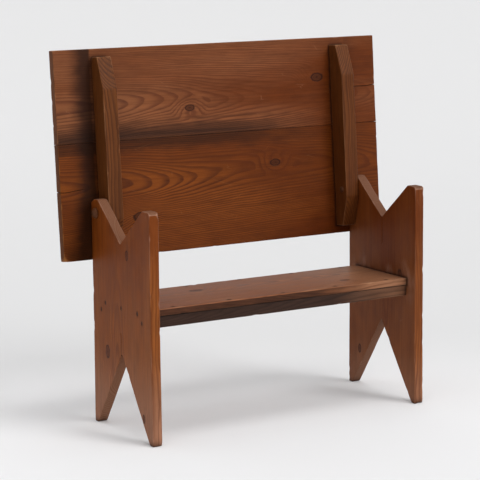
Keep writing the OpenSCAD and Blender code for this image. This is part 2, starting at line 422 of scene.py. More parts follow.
@dataclass(frozen=True)
class WoodFinish:
    """Old varnished wood on one board: where it lay in the tree, its marks and its wear.

    Attributes:
        name: The material's name.
        node: The node that the board stands for.
        tones: Its colours.
        grain: Which way its grain runs.
        heart: The tree's heart from the board's middle, across and through the board, in metres.
        seed: A number that makes its figure its own.
        lean: How far the board leans back, in radians.
        slant: How fast the heart nears the board's face along the grain.
        ring: The breadth of a year's growth, in metres.
        knots: Its knots.
        stain: Its dark streak, if it has one.
        scuffs: How many scratches and scuffs it has, from 0 to 1.
        turning: Where along the grain its patch tone starts to take over and where it has, in metres.
        painted_light: Where along the grain a pale painted light lies on it and where that has faded out, in
            metres, and how strong it is.
    """

    name: str
    node: str
    tones: WoodTones
    grain: Grain
    heart: tuple[float, float]
    seed: float
    lean: float = 0.0
    slant: float = 0.03
    ring: float = 0.0042
    knots: tuple[Knot, ...] = ()
    stain: Stain | None = None
    scuffs: float = 0.5
    turning: tuple[float, float] | None = None
    painted_light: tuple[float, float, float] | None = None

    # How many waves a metre holds along, across and through the board
    FIBRE = (11.0, 620.0, 620.0)
    STREAKS = (2.2, 95.0, 95.0)
    PATCHES = (1.6, 6.0, 6.0)
    MOTTLE = (14.0, 38.0, 38.0)
    PORES = (160.0, 900.0, 900.0)
    RUB = (9.0, 26.0, 26.0)
    SWAY = (1.5, 3.5, 3.5)
    DRIFT = (1.1, 2.5, 2.5)
    RIPPLE = (7.0, 22.0, 22.0)
    BARK = (90.0, 90.0, 90.0)
    SCRATCHES = (6.0, 52.0, 52.0)
    SCRATCHED = (12.0, 30.0, 30.0)
    HOLES = (24.0, 24.0, 24.0)
    HOLED = (5.0, 5.0, 5.0)

    def build(self) -> bpy.types.Material:
        """Builds the material.

        Returns:
            Wood with rings, fibres, knots, stains, wear, dirt, painted light and shade, and a soft varnish
            gloss.
        """
        graph = Graph(bpy.data.materials.new(self.name))
        turn = self.grain.leaned(self.lean)
        here = graph.node("ShaderNodeTexCoord", None, None, "Object")
        low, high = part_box(self.node)
        shift = tuple(-(turn @ ((low + high) / 2)))
        values = {"Vector": here, "Location": shift, "Rotation": tuple(turn.to_euler())}
        place = graph.node("ShaderNodeMapping", None, values)
        along = graph.node("ShaderNodeSeparateXYZ", None, {0: place}, "X")
        across = along.beside("Y")
        through = along.beside("Z")

        core, rim, swell = self._knots(graph, place, along, across)
        late = self._rings(graph, place, (along, across, through), swell) * (1 - core * 0.8)
        fibre = graph.noise(place, self.FIBRE, self.seed + 1.0, 3.0)
        streaks = graph.noise(place, self.STREAKS, self.seed + 2.0, 3.0)
        patches = graph.noise(place, self.PATCHES, self.seed + 3.0, 3.0)
        mottle = graph.noise(place, self.MOTTLE, self.seed + 4.0, 4.0)

        line = late * streaks.ease(0.25, 0.75, 0.45, 0.95)
        colour = graph.mix(line, self.tones.early, self.tones.late)
        turned = patches.ease(0.38, 0.68) * 0.6
        if self.turning is not None:
            turned = turned + (along + (patches - 0.5) * 0.4).ease(*self.turning) * 0.5
        colour = graph.mix(turned, colour, self.tones.patch)
        # A pale painted light along the grain, in the worn tone: a painted reflection of the floor low on the
        # plank ends, a painted sheen on the upper board's left and painted light on the right ends of the
        # seat and the front rail.
        if self.painted_light is not None:
            pale = (along + (patches - 0.5) * 0.12 + (fibre - 0.5) * 0.04).ease(*self.painted_light, 0.0)
            colour = graph.mix(pale, colour, graph.mix(line * 0.6, self.tones.worn, self.tones.late))
        tint = graph.ramp(
            fibre * 0.45 + streaks * 0.55, (0.3, (0.7, 0.66, 0.62)), (0.52, WHITE), (0.72, (1.16, 1.14, 1.1)))
        colour = graph.mix(1.0, colour, tint, "MULTIPLY")
        shade = graph.ramp(mottle, (0.3, (0.82, 0.8, 0.78)), (0.55, WHITE), (0.75, (1.1, 1.09, 1.07)))
        colour = graph.mix(0.8, colour, shade, "MULTIPLY")
        colour = graph.mix(core * 0.85, colour, self.tones.knot)
        colour = graph.mix(rim, colour, self.tones.dirt_and_shade)
        if self.stain is not None:
            colour = graph.mix(self._stain(along, across, streaks, mottle), colour, self.tones.dirt_and_shade)

        cut_end = graph.mask("cut_end")
        pores = graph.noise(place, self.PORES, self.seed + 5.0, 2.0)
        end_colour = graph.mix(late * 0.5 + pores.ease(0.45, 0.7) * 0.35, self.tones.cut_end, self.tones.late)
        colour = graph.mix(cut_end * 0.85, colour, end_colour)

        rub = graph.noise(place, self.RUB, self.seed + 6.0, 4.0)
        worn = (graph.mask("wear") * 0.9 + rub * 1.3 - 1.0).ease(0.0, 0.6)
        colour = graph.mix(worn * 0.66, colour, self.tones.worn)
        scratch = self._scratches(graph, place)
        colour = graph.mix(scratch * 0.3, colour, self.tones.worn)
        # This mask darkens real dirt and also painted shade: the cleats' painted shadow, the shade under the
        # seat and in the corners between pieces.
        dirt_and_shade = (graph.mask("dirt_and_shade") * 1.1 + mottle * 0.7 - 0.52).ease(0.0, 0.75)
        pits = pores.ease(0.66, 0.78) * (1 - cut_end) * 0.5
        holes = self._worm_holes(graph, place)
        colour = graph.mix(dirt_and_shade.most(pits).most(holes) * 0.85, colour, self.tones.dirt_and_shade)

        rough = 0.42 + mottle * 0.16 + worn * 0.14 + cut_end * 0.16 + dirt_and_shade * 0.1 - late * 0.05
        height = late * 0.28 + fibre * 0.42 + rub * 0.35
        height = height - scratch * 0.5 - holes * 1.6 - pits * 0.5 - rim * 0.5
        normal = graph.node("ShaderNodeBump", None, {"Strength": 0.5, "Distance": 0.0007, "Height": height})
        sockets = {
            "Base Color": colour,
            "Roughness": rough,
            "Normal": normal,
            "Specular IOR Level": 0.08,
            "Coat Weight": 0.03,
            "Coat Roughness": 0.35,
        }
        return graph.finish(graph.node("ShaderNodeBsdfPrincipled", None, sockets))

    def _rings(self, graph: Graph, place: Wire, parts: tuple[Wire, Wire, Wire], swell: Wire) -> Wire:
        """Draws the tree's rings, which the board cuts into lines, arches and loops.

        Args:
            graph: The material's graph.
            place: The place in the board, along, across and through it.
            parts: The same place as three numbers.
            swell: How far knots push the rings aside, in metres.

        Returns:
            From 0 in the early wood to 1 on a ring's dark line.
        """
        along, across, through = parts
        sway = graph.noise(place, self.SWAY, self.seed, 2.0) - 0.5
        drift = graph.noise(place, self.DRIFT, self.seed + 9.0, 2.0) - 0.5
        ripple = graph.noise(place, self.RIPPLE, self.seed + 10.0, 2.0) - 0.5
        side = across - self.heart[0] + sway * 0.05
        depth = through - self.heart[1] + along * self.slant + drift * 0.055
        reach = (side * side + depth * depth).root() + along * 0.012 + ripple * 0.004 + swell
        flat = graph.node("ShaderNodeCombineXYZ", None, {0: reach})
        breadth = graph.noise(flat, (46.0, 1.0, 1.0), self.seed, 2.0)
        year = (reach / self.ring + breadth * 3.0).part()
        return year.ease(0.3, 0.86) * year.ease(0.9, 1.0, 1.0, 0.0)

    def _knots(self, graph: Graph, place: Wire, along: Wire, across: Wire) -> tuple[Wire, Wire, Wire]:
        """Draws the knots.

        Args:
            graph: The material's graph.
            place: The place in the board.
            along: The place along the grain.
            across: The place across it.

        Returns:
            The knots' wood and their dark lines, from 0 to 1, and how far they push the rings, in metres.
        """
        core = along * 0.0
        rim = along * 0.0
        swell = along * 0.0
        rough = (graph.noise(place, self.BARK, self.seed + 11.0, 2.0) - 0.5) * 0.5
        for knot in self.knots:
            run = (along - knot.along) / 1.7
            rise = across - knot.across
            gap = (run * run + rise * rise).root() / knot.radius + rough
            inside = gap.ease(0.9, 1.15, 1.0, 0.0)
            lines = (gap * 3.3).part().ease(0.45, 0.95) * inside * 0.4
            bark = gap.ease(0.72, 0.98) * gap.ease(1.02, 1.3, 1.0, 0.0) * 0.75
            heart = gap.ease(0.1, 0.32, 0.55, 0.0)
            core = core.most(inside)
            rim = rim.most(lines).most(bark).most(heart)
            swell = swell + gap.ease(0.4, 5.0, 1.0, 0.0) * (knot.radius * 1.3)
        return core, rim, swell

    def _stain(self, along: Wire, across: Wire, streaks: Wire, mottle: Wire) -> Wire:
        """Draws the dark streak, feathered by the grain.

        Args:
            along: The place along the grain.
            across: The place across it.
            streaks: Noise in long streaks.
            mottle: Noise in small patches.

        Returns:
            The streak's strength, from 0 to 1.
        """
        stain = self.stain
        rise = ((across - stain.across) / stain.half_width).size()
        band = (rise + (streaks - 0.5) * 1.1 + (mottle - 0.5) * 0.5).ease(0.55, 1.35, 1.0, 0.0)
        reach = stain.stop - stain.start
        fade = (along + (mottle - 0.5) * 0.12).ease(stain.stop - 0.5 * reach, stain.stop, 1.0, 0.0)
        return band * fade * (streaks.ease(0.2, 0.7, 0.55, 1.0) * stain.strength)

    def _scratches(self, graph: Graph, place: Wire) -> Wire:
        """Draws thin scratches, nearly with the grain, in loose patches.

        Args:
            graph: The material's graph.
            place: The place in the board.

        Returns:
            From 0 beside the scratches to the finish's share of scuffs on them.
        """
        cells = graph.placed(place, self.SCRATCHES, self.seed + 12.0)
        settings = {"feature": "DISTANCE_TO_EDGE"}
        edge = graph.node("ShaderNodeTexVoronoi", settings, {"Vector": cells, "Scale": 1.0}, "Distance")
        where = graph.noise(place, self.SCRATCHED, self.seed + 13.0, 3.0)
        return edge.ease(0.0, 0.018, 1.0, 0.0) * where.ease(0.56, 0.72) * self.scuffs

    def _worm_holes(self, graph: Graph, place: Wire) -> Wire:
        """Draws a few small round holes.

        Args:
            graph: The material's graph.
            place: The place in the board.

        Returns:
            From 0 beside a hole to 1 in it.
        """
        cells = graph.placed(place, self.HOLES, self.seed + 14.0)
        gap = graph.node("ShaderNodeTexVoronoi", None, {"Vector": cells, "Scale": 1.0}, "Distance")
        where = graph.noise(place, self.HOLED, self.seed + 15.0, 1.0)
        return gap.ease(0.018, 0.028, 1.0, 0.0) * where.ease(0.56, 0.6)


@dataclass(frozen=True)
class IronFinish:
    """Old iron, dark and a little rusty, as on a hammered nail head.

    Attributes:
        name: The material's name.
        dark: The iron's own tone.
        rust: The tone of its rust.
    """

    name: str = "nail_iron"
    dark: Tone = field(default_factory=lambda: tone(46, 40, 37))
    rust: Tone = field(default_factory=lambda: tone(82, 46, 28))

    def build(self) -> bpy.types.Material:
        """Builds the material.

        Returns:
            Iron with patches of rust and small dents.
        """
        graph = Graph(bpy.data.materials.new(self.name))
        place = graph.node("ShaderNodeTexCoord", None, None, "Object")
        bloom = graph.noise(place, (380.0, 380.0, 380.0), 2.0, 4.0)
        colour = graph.mix(bloom.ease(0.42, 0.66), self.dark, self.rust)
        blows = graph.noise(place, (700.0, 700.0, 700.0), 5.0, 2.0)
        normal = graph.node("ShaderNodeBump", None, {"Strength": 0.6, "Distance": 0.0004, "Height": blows})
        sockets = {
            "Base Color": colour,
            "Metallic": bloom.ease(0.4, 0.7, 0.75, 0.15),
            "Roughness": bloom.ease(0.35, 0.7, 0.5, 0.85),
            "Normal": normal,
        }
        return graph.finish(graph.node("ShaderNodeBsdfPrincipled", None, sockets))


# Meshes

def waves(places: Array, lengths: Iterable[float], seed: int, count: int = 7) -> Array:
    """Sums seeded sine waves into smooth noise.

    Args:
        places: Points, in metres, one a row.
        lengths: The waves' length along each axis, in metres.
        seed: The seed of their directions and phases.
        count: How many waves are summed.

    Returns:
        A number from about -1 to 1 for each point.
    """
    draw = np.random.default_rng(seed)
    scaled = places / np.array(list(lengths)) * 2 * math.pi
    total = np.zeros(len(places))
    for _ in range(count):
        way = draw.normal(size=3)
        way *= draw.uniform(0.6, 1.5) / np.linalg.norm(way)
        total += np.sin(scaled @ way + draw.uniform(0, 2 * math.pi))
    return total / math.sqrt(count) * 0.8


def level(value: float) -> Bound:
    """Gives a bound that is the same all along a board."""
    return lambda stations: np.full(len(stations), value)


def softened(bound: Bound) -> Bound:
    """Softens a bound's corners, as a saw and a knife leave them."""
    shifts = np.linspace(-SAW_REACH, SAW_REACH, 7)
    return lambda stations: np.mean([bound(stations + shift) for shift in shifts], axis=0)


def outside(places: Array, low: float, high: float) -> Array:
    """Gives how far places lie outside a span, and 0 inside it."""
    return np.clip(np.maximum(low - places, places - high), 0, 1)


def fading(gap: Array, reach: float) -> Array:
    """Gives 1 where a gap is nothing, which fades quickly and then slowly over a reach."""
    return np.exp(-gap / reach)


def bell(offset: Array, reach: float) -> Array:
    """Gives 1 where an offset is nothing, which falls to both sides over a reach."""
    return np.exp(-(offset / reach) ** 2)


def solid(name: str, points: Array, faces: list[tuple[int, ...]]) -> bpy.types.Object:
    """Makes a smooth-shaded object whose faces point outwards.

    Args:
        name: The object's name.
        points: Its points, in the shared frame.
        faces: Its faces, as rows of point numbers.

    Returns:
        The object, at the origin.
    """
    mesh = bpy.data.meshes.new(name)
    mesh.from_pydata(points.tolist(), [], faces)
    shape = bmesh.new()
    shape.from_mesh(mesh)
    bmesh.ops.recalc_face_normals(shape, faces=shape.faces)
    shape.to_mesh(mesh)
    shape.free()
    mesh.shade_smooth()
    piece = bpy.data.objects.new(name, mesh)
    bpy.context.scene.collection.objects.link(piece)
    return piece


@dataclass(frozen=True)
class Split:
    """A drying split that runs in from one end of a board.

    Attributes:
        across: Its place across the grain, in metres, in the board's own frame.
        at_high_end: Whether it starts at the end with the higher number along the grain.
        length: How far it runs, in metres.
        width: Its width at the mouth, in metres.
        depth: Its depth, in metres.
        sway: How far it strays to a side, in metres.
        sway_l: How long its sway is, in metres.
        sway_reach: How far beside it the grain strays with it, in metres.
    """

    across: float
    at_high_end: bool
    length: float
    width: float = 2.2 * MM
    depth: float = 6 * MM
    sway: float = 2.2 * MM
    sway_l: float = 80 * MM
    sway_reach: float = 20 * MM


@dataclass
class BoardMesh:
    """A board with eased, worn edges, drawn as a grid round its six sides.

    Its own frame has stations along one side of its face, the span between two bounds on the other, and its
    thickness. The grid follows the bounds, so a V cut is part of it.

    Attributes:
        start: The first station, in metres.
        stop: The last station, in metres.
        low: The lower bound at each station.
        high: The upper bound at each station.
        thickness: The board's thickness, in metres.
        grain_on_span: Whether the grain runs along the span, and not along the stations.
        ease: The radius of its edges, in metres.
        past_ease: How far past the rounding the grid's next line lies, in metres.
        step: The grid's step, in metres.
        extra_stations: Stations that the grid has to hold, such as the corners of a V.
        extra_spans: Places across the span that it has to hold, where the span is straight.
        splits: Its drying splits.
        seed: The seed of its wear.
        worn_in: How far in from an edge the wear reaches, in metres.
        wear_depth: How deep the wear bites along its edges, in metres.
        plane_depth: How deep the marks of the plane are, in metres.
        nicks: How many nicks its edges have.
        nick_radii: The least and the greatest radius of a nick, in metres.
        nick_depths: The least and the greatest depth of a nick, in metres.
        low_edge: How round and worn the edges at the lower bound are, as a share of the others.
        high_edge: The same at the upper bound.
    """

    start: float
    stop: float
    low: Bound
    high: Bound
    thickness: float
    grain_on_span: bool
    ease: float = 2.8 * MM
    past_ease: float = 0.6 * MM
    step: float = 5 * MM
    extra_stations: tuple[float, ...] = ()
    extra_spans: tuple[float, ...] = ()
    splits: tuple[Split, ...] = ()
    seed: int = 1
    worn_in: float = 12 * MM
    wear_depth: float = 0.9 * MM
    plane_depth: float = 0.22 * MM
    nicks: int = 14
    nick_radii: tuple[float, float] = (4 * MM, 11 * MM)
    nick_depths: tuple[float, float] = (0.5 * MM, 1.5 * MM)
    low_edge: float = 1.0
    high_edge: float = 1.0

    # Lengths of the waves of its marks along the board's three axes, in metres
    PLANED_ALONG = (0.35, 0.06, 0.06)
    PLANED_UP = (0.06, 0.35, 0.06)
    RUBBED = (0.045, 0.045, 0.045)
    WORN = (0.2, 0.2, 0.2)

    # How worn an edge is on its rounding, beside it and at a nick, and from where on it counts as a rim
    EDGE_WEAR = 0.75
    SIDE_WEAR = 0.35
    NICK_WEAR = 0.3
    RIM = 0.7

    # How dirty a split is, and the most that dirt adds up to
    SPLIT_DIRT = 1.3
    MOST_DIRT = 1.5

    def _lines(self, length: float, holds: Iterable[float] = ()) -> Array:
        """Lays grid lines over a length, closer at both ends where the edge is rounded.

        Args:
            length: The length, in metres.
            holds: Places that have to lie on a line.

        Returns:
            The lines' places from 0 to the length.
        """
        near = [0.0, self.ease * 0.5, self.ease, self.ease + self.past_ease]
        far = [length - place for place in reversed(near)]
        held = [hold for hold in holds if self.ease * 2 < hold < length - self.ease * 2]
        stops = sorted([near[-1], *held, far[0]])
        inner: list[float] = []
        for first, second in zip(stops, stops[1:]):
            count = max(1, round((second - first) / self.step))
            inner.extend(np.linspace(first, second, count + 1)[1:-1])
            inner.append(second)
        return np.array(sorted(set(near + inner + far)))

    def build(self, place: Callable[[Array], Array], name: str) -> bpy.types.Object:
        """Builds the board in the shared frame.

        Args:
            place: Turns points of the board's own frame into points of the shared frame.
            name: The object's name.

        Returns:
            The board, at the origin, with wear, dirt and painted shade, and cut_end kept on its points.
        """
        width = self.stop - self.start
        split_lines = [s.across + k * s.width / 2 for s in self.splits for k in (-1, 0, 1)]
        if self.grain_on_span:
            station_holds = [*self.extra_stations, *split_lines]
            span_shares = self._share_lines(())
        else:
            station_holds = list(self.extra_stations)
            span_shares = self._share_lines([*self.extra_spans, *split_lines])
        stations = self._lines(width, [hold - self.start for hold in station_holds])
        depths = self._lines(self.thickness)
        points, faces, masks, marks = self._grid(stations, span_shares, depths)
        board = solid(name, place(points), faces.tolist())
        self._wear(board, points, masks, marks)
        for key, values in masks.items():
            write_mask(board.data, key, values)
        return board

    def _share_lines(self, holds: Iterable[float]) -> Array:
        """Lays the span's lines as pairs of a fixed part, in metres, and a share of the free span.

        Args:
            holds: Places that have to lie on a line, in metres.

        Returns:
            The pairs, one a row.
        """
        station = np.array([(self.start + self.stop) / 2])
        if self.grain_on_span:
            longest = float((self.high(np.array([self.start])) - self.low(np.array([self.start])))[0])
        else:
            longest = float((self.high(station) - self.low(station))[0])
        base = float(self.low(station)[0])
        lines = self._lines(longest, [hold - base for hold in holds])
        free = longest - 2 * self.ease
        fixed = np.clip(lines, 0, self.ease) + np.clip(lines - (longest - self.ease), 0, self.ease)
        share = np.clip((lines - self.ease) / free, 0, 1)
        return np.stack([fixed, share], 1)

    def _grid(
        self, stations: Array, spans: Array, depths: Array,
    ) -> tuple[Array, Array, dict[str, Array], Array]:
        """Lays the grid over all six sides and rounds its edges.

        Args:
            stations: The stations' places from the first one.
            spans: The fixed part and the free share of each line of the span.
            depths: The places through the thickness.

        Returns:
            The points in the board's own frame, the faces, the masks and each point's share in a split.
        """
        shape = (len(stations), len(spans), len(depths))
        i, j, k = np.meshgrid(*(np.arange(n) for n in shape), indexing="ij")
        skin = np.ones(shape, bool)
        skin[1:-1, 1:-1, 1:-1] = False
        index = np.full(shape, -1)
        index[skin] = np.arange(skin.sum())
        i, j, k = i[skin], j[skin], k[skin]
        u = stations[i]
        low = self.low(self.start + u)
        rise = self.high(self.start + u) - low
        v = spans[j, 0] + spans[j, 1] * (rise - 2 * self.ease)
        w = depths[k]
        flat = np.stack([u, v, w], 1)
        limit = np.stack([np.full_like(u, self.stop - self.start), rise, np.full_like(u, self.thickness)], 1)
        inner = np.clip(flat, self.ease, limit - self.ease)
        out = flat - inner
        rounded = inner + self.ease * out / np.linalg.norm(out, axis=1, keepdims=True)
        crisp = np.ones_like(v)
        for gap, share in ((v, self.low_edge), (rise - v, self.high_edge)):
            crisp = np.minimum(crisp, share + (1 - share) * np.clip(gap / self.ease - 1, 0, 1))
        rounded = flat + (rounded - flat) * crisp[:, None]
        gaps = np.minimum(flat, limit - flat)
        edge = np.sort(gaps, axis=1)
        points = rounded + np.stack([np.full_like(u, self.start), low, np.zeros_like(u)], 1)
        grain_gap = gaps[:, 1] if self.grain_on_span else gaps[:, 0]
        rubbed = fading(edge[:, 1], self.ease * 1.1) * self.EDGE_WEAR
        rubbed += fading(edge[:, 2], self.worn_in) * self.SIDE_WEAR
        masks = {
            "wear": rubbed * crisp,
            "dirt_and_shade": np.zeros_like(u),
            "cut_end": np.clip(1 - grain_gap / (self.ease * 0.8), 0, 1),
        }
        marks = self._marks(points)
        self._wander(points)
        return points, self._faces(index, shape), masks, marks

    @staticmethod
    def _faces(index: Array, shape: tuple[int, int, int]) -> Array:
        """Joins the grid's points into the faces of its six sides.

        Args:
            index: Each point's number at its place in the grid.
            shape: How many points the grid has each way.

        Returns:
            The faces, as rows of point numbers.
        """
        sides = []
        for axis in range(3):
            for end in (0, shape[axis] - 1):
                sheet = np.take(index, end, axis=axis)
                quads = np.stack([sheet[:-1, :-1], sheet[1:, :-1], sheet[1:, 1:], sheet[:-1, 1:]], -1)
                sides.append(quads.reshape(-1, 4))
        return np.concatenate(sides)

    def _wander(self, points: Array) -> None:
        """Bends the grid beside each split, so that the split follows the grain and not a straight line.

        Args:
            points: The points in the board's own frame, which are moved.
        """
        along, across = (1, 0) if self.grain_on_span else (0, 1)
        for number, split in enumerate(self.splits):
            sway = waves(points * (np.arange(3) == along), (split.sway_l,) * 3, self.seed + 90 + number)
            near = bell(points[:, across] - split.across, split.sway_reach)
            points[:, across] += sway * near * split.sway

    def _marks(self, points: Array) -> Array:
        """Finds how deep each point lies in a split, in metres.

        Args:
            points: The points in the board's own frame.

        Returns:
            The depth at each point, in metres.
        """
        depth = np.zeros(len(points))
        along = points[:, 1] if self.grain_on_span else points[:, 0]
        across = points[:, 0] if self.grain_on_span else points[:, 1]
        for split in self.splits:
            on_line = np.abs(across - split.across) < split.width * 0.2
            low, high = along[on_line].min(), along[on_line].max()
            run = (high - along if split.at_high_end else along - low) / split.length
            depth = np.where(on_line & (run < 1), split.depth * np.sqrt(np.clip(1 - run, 0, 1)), depth)
        return depth

    def _wear(self, board: bpy.types.Object, points: Array, masks: dict[str, Array], marks: Array) -> None:
        """Presses the wear, planing, nicks and splits into the mesh, always inward.

        Args:
            board: The board.
            points: Its points in the board's own frame.
            masks: Its masks, whose dirt and wear this adds to.
            marks: How deep each point lies in a split.
        """
        mesh = board.data
        count = len(mesh.vertices)
        normals = np.zeros(count * 3, np.float32)
        mesh.vertices.foreach_get("normal", normals)
        normals = normals.reshape(-1, 3).astype(float)
        places = places_of(mesh)
        edge = np.clip(masks["wear"], 0, 1)
        lengths = self.PLANED_UP if self.grain_on_span else self.PLANED_ALONG
        plane_marks = 0.5 + 0.5 * waves(points, lengths, self.seed)
        rub = 0.5 + 0.5 * waves(points, self.RUBBED, self.seed + 1)
        broad = 0.5 + 0.5 * waves(points, self.WORN, self.seed + 2)
        inward = np.clip(plane_marks, 0, 1) * self.plane_depth
        inward += edge * np.clip(rub * broad, 0, 1) * self.wear_depth
        draw = np.random.default_rng(self.seed + 3)
        rims = np.flatnonzero(edge > self.RIM)
        for _ in range(self.nicks):
            middle = points[draw.choice(rims)]
            radius = draw.uniform(*self.nick_radii)
            gap = np.linalg.norm((points - middle) / radius, axis=1)
            bite = np.exp(-gap * gap)
            inward += bite * draw.uniform(*self.nick_depths)
            masks["wear"] = masks["wear"] + bite * self.NICK_WEAR
        inward += marks
        masks["dirt_and_shade"] = np.clip(masks["dirt_and_shade"] + (marks > 0) * self.SPLIT_DIRT, 0, self.MOST_DIRT)
        masks["wear"] = np.where(marks > 0, 0.0, masks["wear"])
        mesh.vertices.foreach_set("co", (places - normals * inward[:, None]).astype(np.float32).ravel())
        mesh.update()


def raise_mask(board: bpy.types.Object, name: str, amount: Callable[[Array], Array]) -> None:
    """Raises a mask, such as the painted shade of a board where it lies near another piece, or its darkening
    near the floor.

    Args:
        board: The board.
        name: The mask's name.
        amount: Gives the mask at points of the shared frame, from 0 to 1.
    """
    mesh = board.data
    write_mask(mesh, name, np.maximum(read_mask(mesh, name), amount(places_of(mesh))))


def settle(piece: bpy.types.Object) -> bpy.types.Object:
    """Turns a piece and its live modifiers into a plain mesh.

    Args:
        piece: The piece, which keeps its name.

    Returns:
        The same piece with no modifiers.
    """
    graph = bpy.context.evaluated_depsgraph_get()
    mesh = bpy.data.meshes.new_from_object(piece.evaluated_get(graph), depsgraph=graph)
    piece.modifiers.clear()
    piece.data = mesh
    mesh.name = piece.name
    return piece


@dataclass(frozen=True)
class Block:
    """A straight-sided body that is cut out of a board or added to it.

    Attributes:
        middle: Its middle, in metres, in the shared frame.
        axes: Its length, width and height directions, as unit vectors.
        size: Its length, width and height, in metres.
    """

    middle: Vector
    axes: tuple[Vector, Vector, Vector]
    size: tuple[float, float, float]

    def add_to(self, shape: bmesh.types.BMesh) -> None:
        """Adds the block's faces to a mesh.

        Args:
            shape: The mesh.
        """
        turn = Matrix(self.axes).transposed().to_4x4()
        place = Matrix.Translation(self.middle) @ turn @ Matrix.Diagonal((*self.size, 1.0))
        bmesh.ops.create_cube(shape, size=1.0, matrix=place)


@dataclass(frozen=True)
class Rod:
    """A round body along the table that is cut out of a board.

    Attributes:
        middle: Its middle, in metres, in the shared frame.
        radius: Its radius, in metres.
        length: Its length, in metres.
    """

    middle: Vector
    radius: float
    length: float

    def add_to(self, shape: bmesh.types.BMesh) -> None:
        """Adds the rod's faces to a mesh.

        Args:
            shape: The mesh.
        """
        place = Matrix.Translation(self.middle) @ Matrix.Rotation(math.pi / 2, 4, "Y")
        bmesh.ops.create_cone(
            shape, cap_ends=True, segments=64, radius1=self.radius, radius2=self.radius, depth=self.length,
            matrix=place)


def carve(board: bpy.types.Object, bodies: Iterable[Block | Rod], way: str = "DIFFERENCE") -> None:
    """Cuts bodies out of a board, or adds them to it, and keeps the board's masks.

    Args:
        board: The board.
        bodies: The bodies.
        way: DIFFERENCE to cut them out, UNION to add them.
    """
    shape = bmesh.new()
    for body in bodies:
        body.add_to(shape)
    mesh = bpy.data.meshes.new("cutter")
    shape.to_mesh(mesh)
    shape.free()
    cutter = bpy.data.objects.new("cutter", mesh)
    bpy.context.scene.collection.objects.link(cutter)
    masks = {name: read_mask(board.data, name) for name in ("wear", "dirt_and_shade", "cut_end")}
    tree = KDTree(len(board.data.vertices))
    for vertex in board.data.vertices:
        tree.insert(vertex.co, vertex.index)
    tree.balance()
    modifier = board.modifiers.new("carve", "BOOLEAN")
    modifier.operation = way
    modifier.solver = "EXACT"
    modifier.object = cutter
    settle(board)
    bpy.data.objects.remove(cutter)
    nearest = np.array([tree.find(vertex.co)[1] for vertex in board.data.vertices])
    for name, values in masks.items():
        write_mask(board.data, name, values[nearest])
    board.data.set_sharp_from_angle(angle=math.radians(40))


def read_mask(mesh: bpy.types.Mesh, name: str) -> Array:
    """Reads a mask from a mesh's points.

    Args:
        mesh: The mesh.
        name: The mask's name.

    Returns:
        The mask at each point.
    """
    values = np.zeros(len(mesh.vertices), np.float32)
    mesh.attributes[name].data.foreach_get("value", values)
    return values


def write_mask(mesh: bpy.types.Mesh, name: str, values: Array) -> None:
    """Keeps a mask on a mesh's points.

    Args:
        mesh: The mesh.
        name: The mask's name.
        values: The mask at each point.
    """
    if name in mesh.attributes:
        mesh.attributes.remove(mesh.attributes[name])
    mask = mesh.attributes.new(name, "FLOAT", "POINT")
    mask.data.foreach_set("value", np.asarray(values, np.float32))


def places_of(mesh: bpy.types.Mesh) -> Array:
    """Reads a mesh's points as rows.

    Args:
        mesh: The mesh.

    Returns:
        Its points, in metres, one a row.
    """
    places = np.zeros(len(mesh.vertices) * 3, np.float32)
    mesh.vertices.foreach_get("co", places)
    return places.reshape(-1, 3).astype(float)


def hand_over(piece: bpy.types.Object, body: str, slot: str, nodes: Iterable[str]) -> None:
    """Lets a finished piece ride on its body and stand for its nodes.

    Args:
        piece: The finished piece.
        body: The body that it moves with.
        slot: The record's material slot, which is not used.
        nodes: The nodes that it stands for.
    """
    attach(piece, body)
    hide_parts(*nodes)
    LOG.info("%s rides on %s with %d faces", piece.name, body, len(piece.data.polygons))


# The raised top's place

@dataclass(frozen=True)
class Swing:
    """Where the raised top hangs.

    Attributes:
        pivot: The pins' axis, in the shared frame.
        lean: How far the raised top leans back, in radians.
        under: Distance from the pivot to the underside of the boards, in metres.
        bore: Radius of the pins' bores, in metres.
        overrun: How far a bore's cutter reaches past the board.
    """

    pivot: Vector
    lean: float
    under: float = 42.3 * MM
    bore: float = 9.58 * MM
    overrun: float = 16 * MM

    @classmethod
    def from_frame(cls) -> "Swing":
        """Reads the pivot and the lean from the frame's hinge."""
        hinge = next(joint for joint in frame["joints"] if joint["type"] == "hinge")
        return cls(Vector(hinge["pos_m"]), math.radians(hinge["range_deg"][1] - 90))

    @property
    def outward(self) -> Vector:
        """The way that the table's upper face looks while the top is raised."""
        return Vector((0, math.cos(self.lean), -math.sin(self.lean)))

    @property
    def upward(self) -> Vector:
        """The way up the raised boards."""
        return Vector((0, math.sin(self.lean), math.cos(self.lean)))

    def bore_of(self, node: str) -> Rod:
        """Gives the body that bores a node for its pin.

        Args:
            node: The node.

        Returns:
            A rod along the pins' axis that reaches past both of its faces.
        """
        low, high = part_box(node)
        middle = Vector(((low.x + high.x) / 2, self.pivot.y, self.pivot.z))
        return Rod(middle, self.bore, high.x - low.x + 2 * self.overrun)

    def on_top(self, points: Array) -> Array:
        """Turns points of the top's frame into the shared frame.

        Args:
            points: Places along the table, up the boards from the pivot, and back from the pivot.

        Returns:
            The same points in the shared frame.
        """
        x, rise, back = points.T
        y = self.pivot.y + back * self.outward.y + rise * self.upward.y
        z = self.pivot.z + back * self.outward.z + rise * self.upward.z
        return np.stack([x, y, z], 1)

    def off_top(self, points: Array) -> Array:
        """Turns points of the shared frame into the top's frame, which on_top undoes.

        Args:
            points: Places in the shared frame.

        Returns:
            The same points along the table, up the boards and back from the pivot.
        """
        x, y, z = (points - np.array([0, self.pivot.y, self.pivot.z])).T
        rise = y * self.upward.y + z * self.upward.z
        return np.stack([x, rise, y * self.outward.y + z * self.outward.z], 1)


SWING = Swing.from_frame()
LEFT = Vector((-1, 0, 0))
RIGHT = Vector((1, 0, 0))
UP = Vector((0, 0, 1))


# Nails

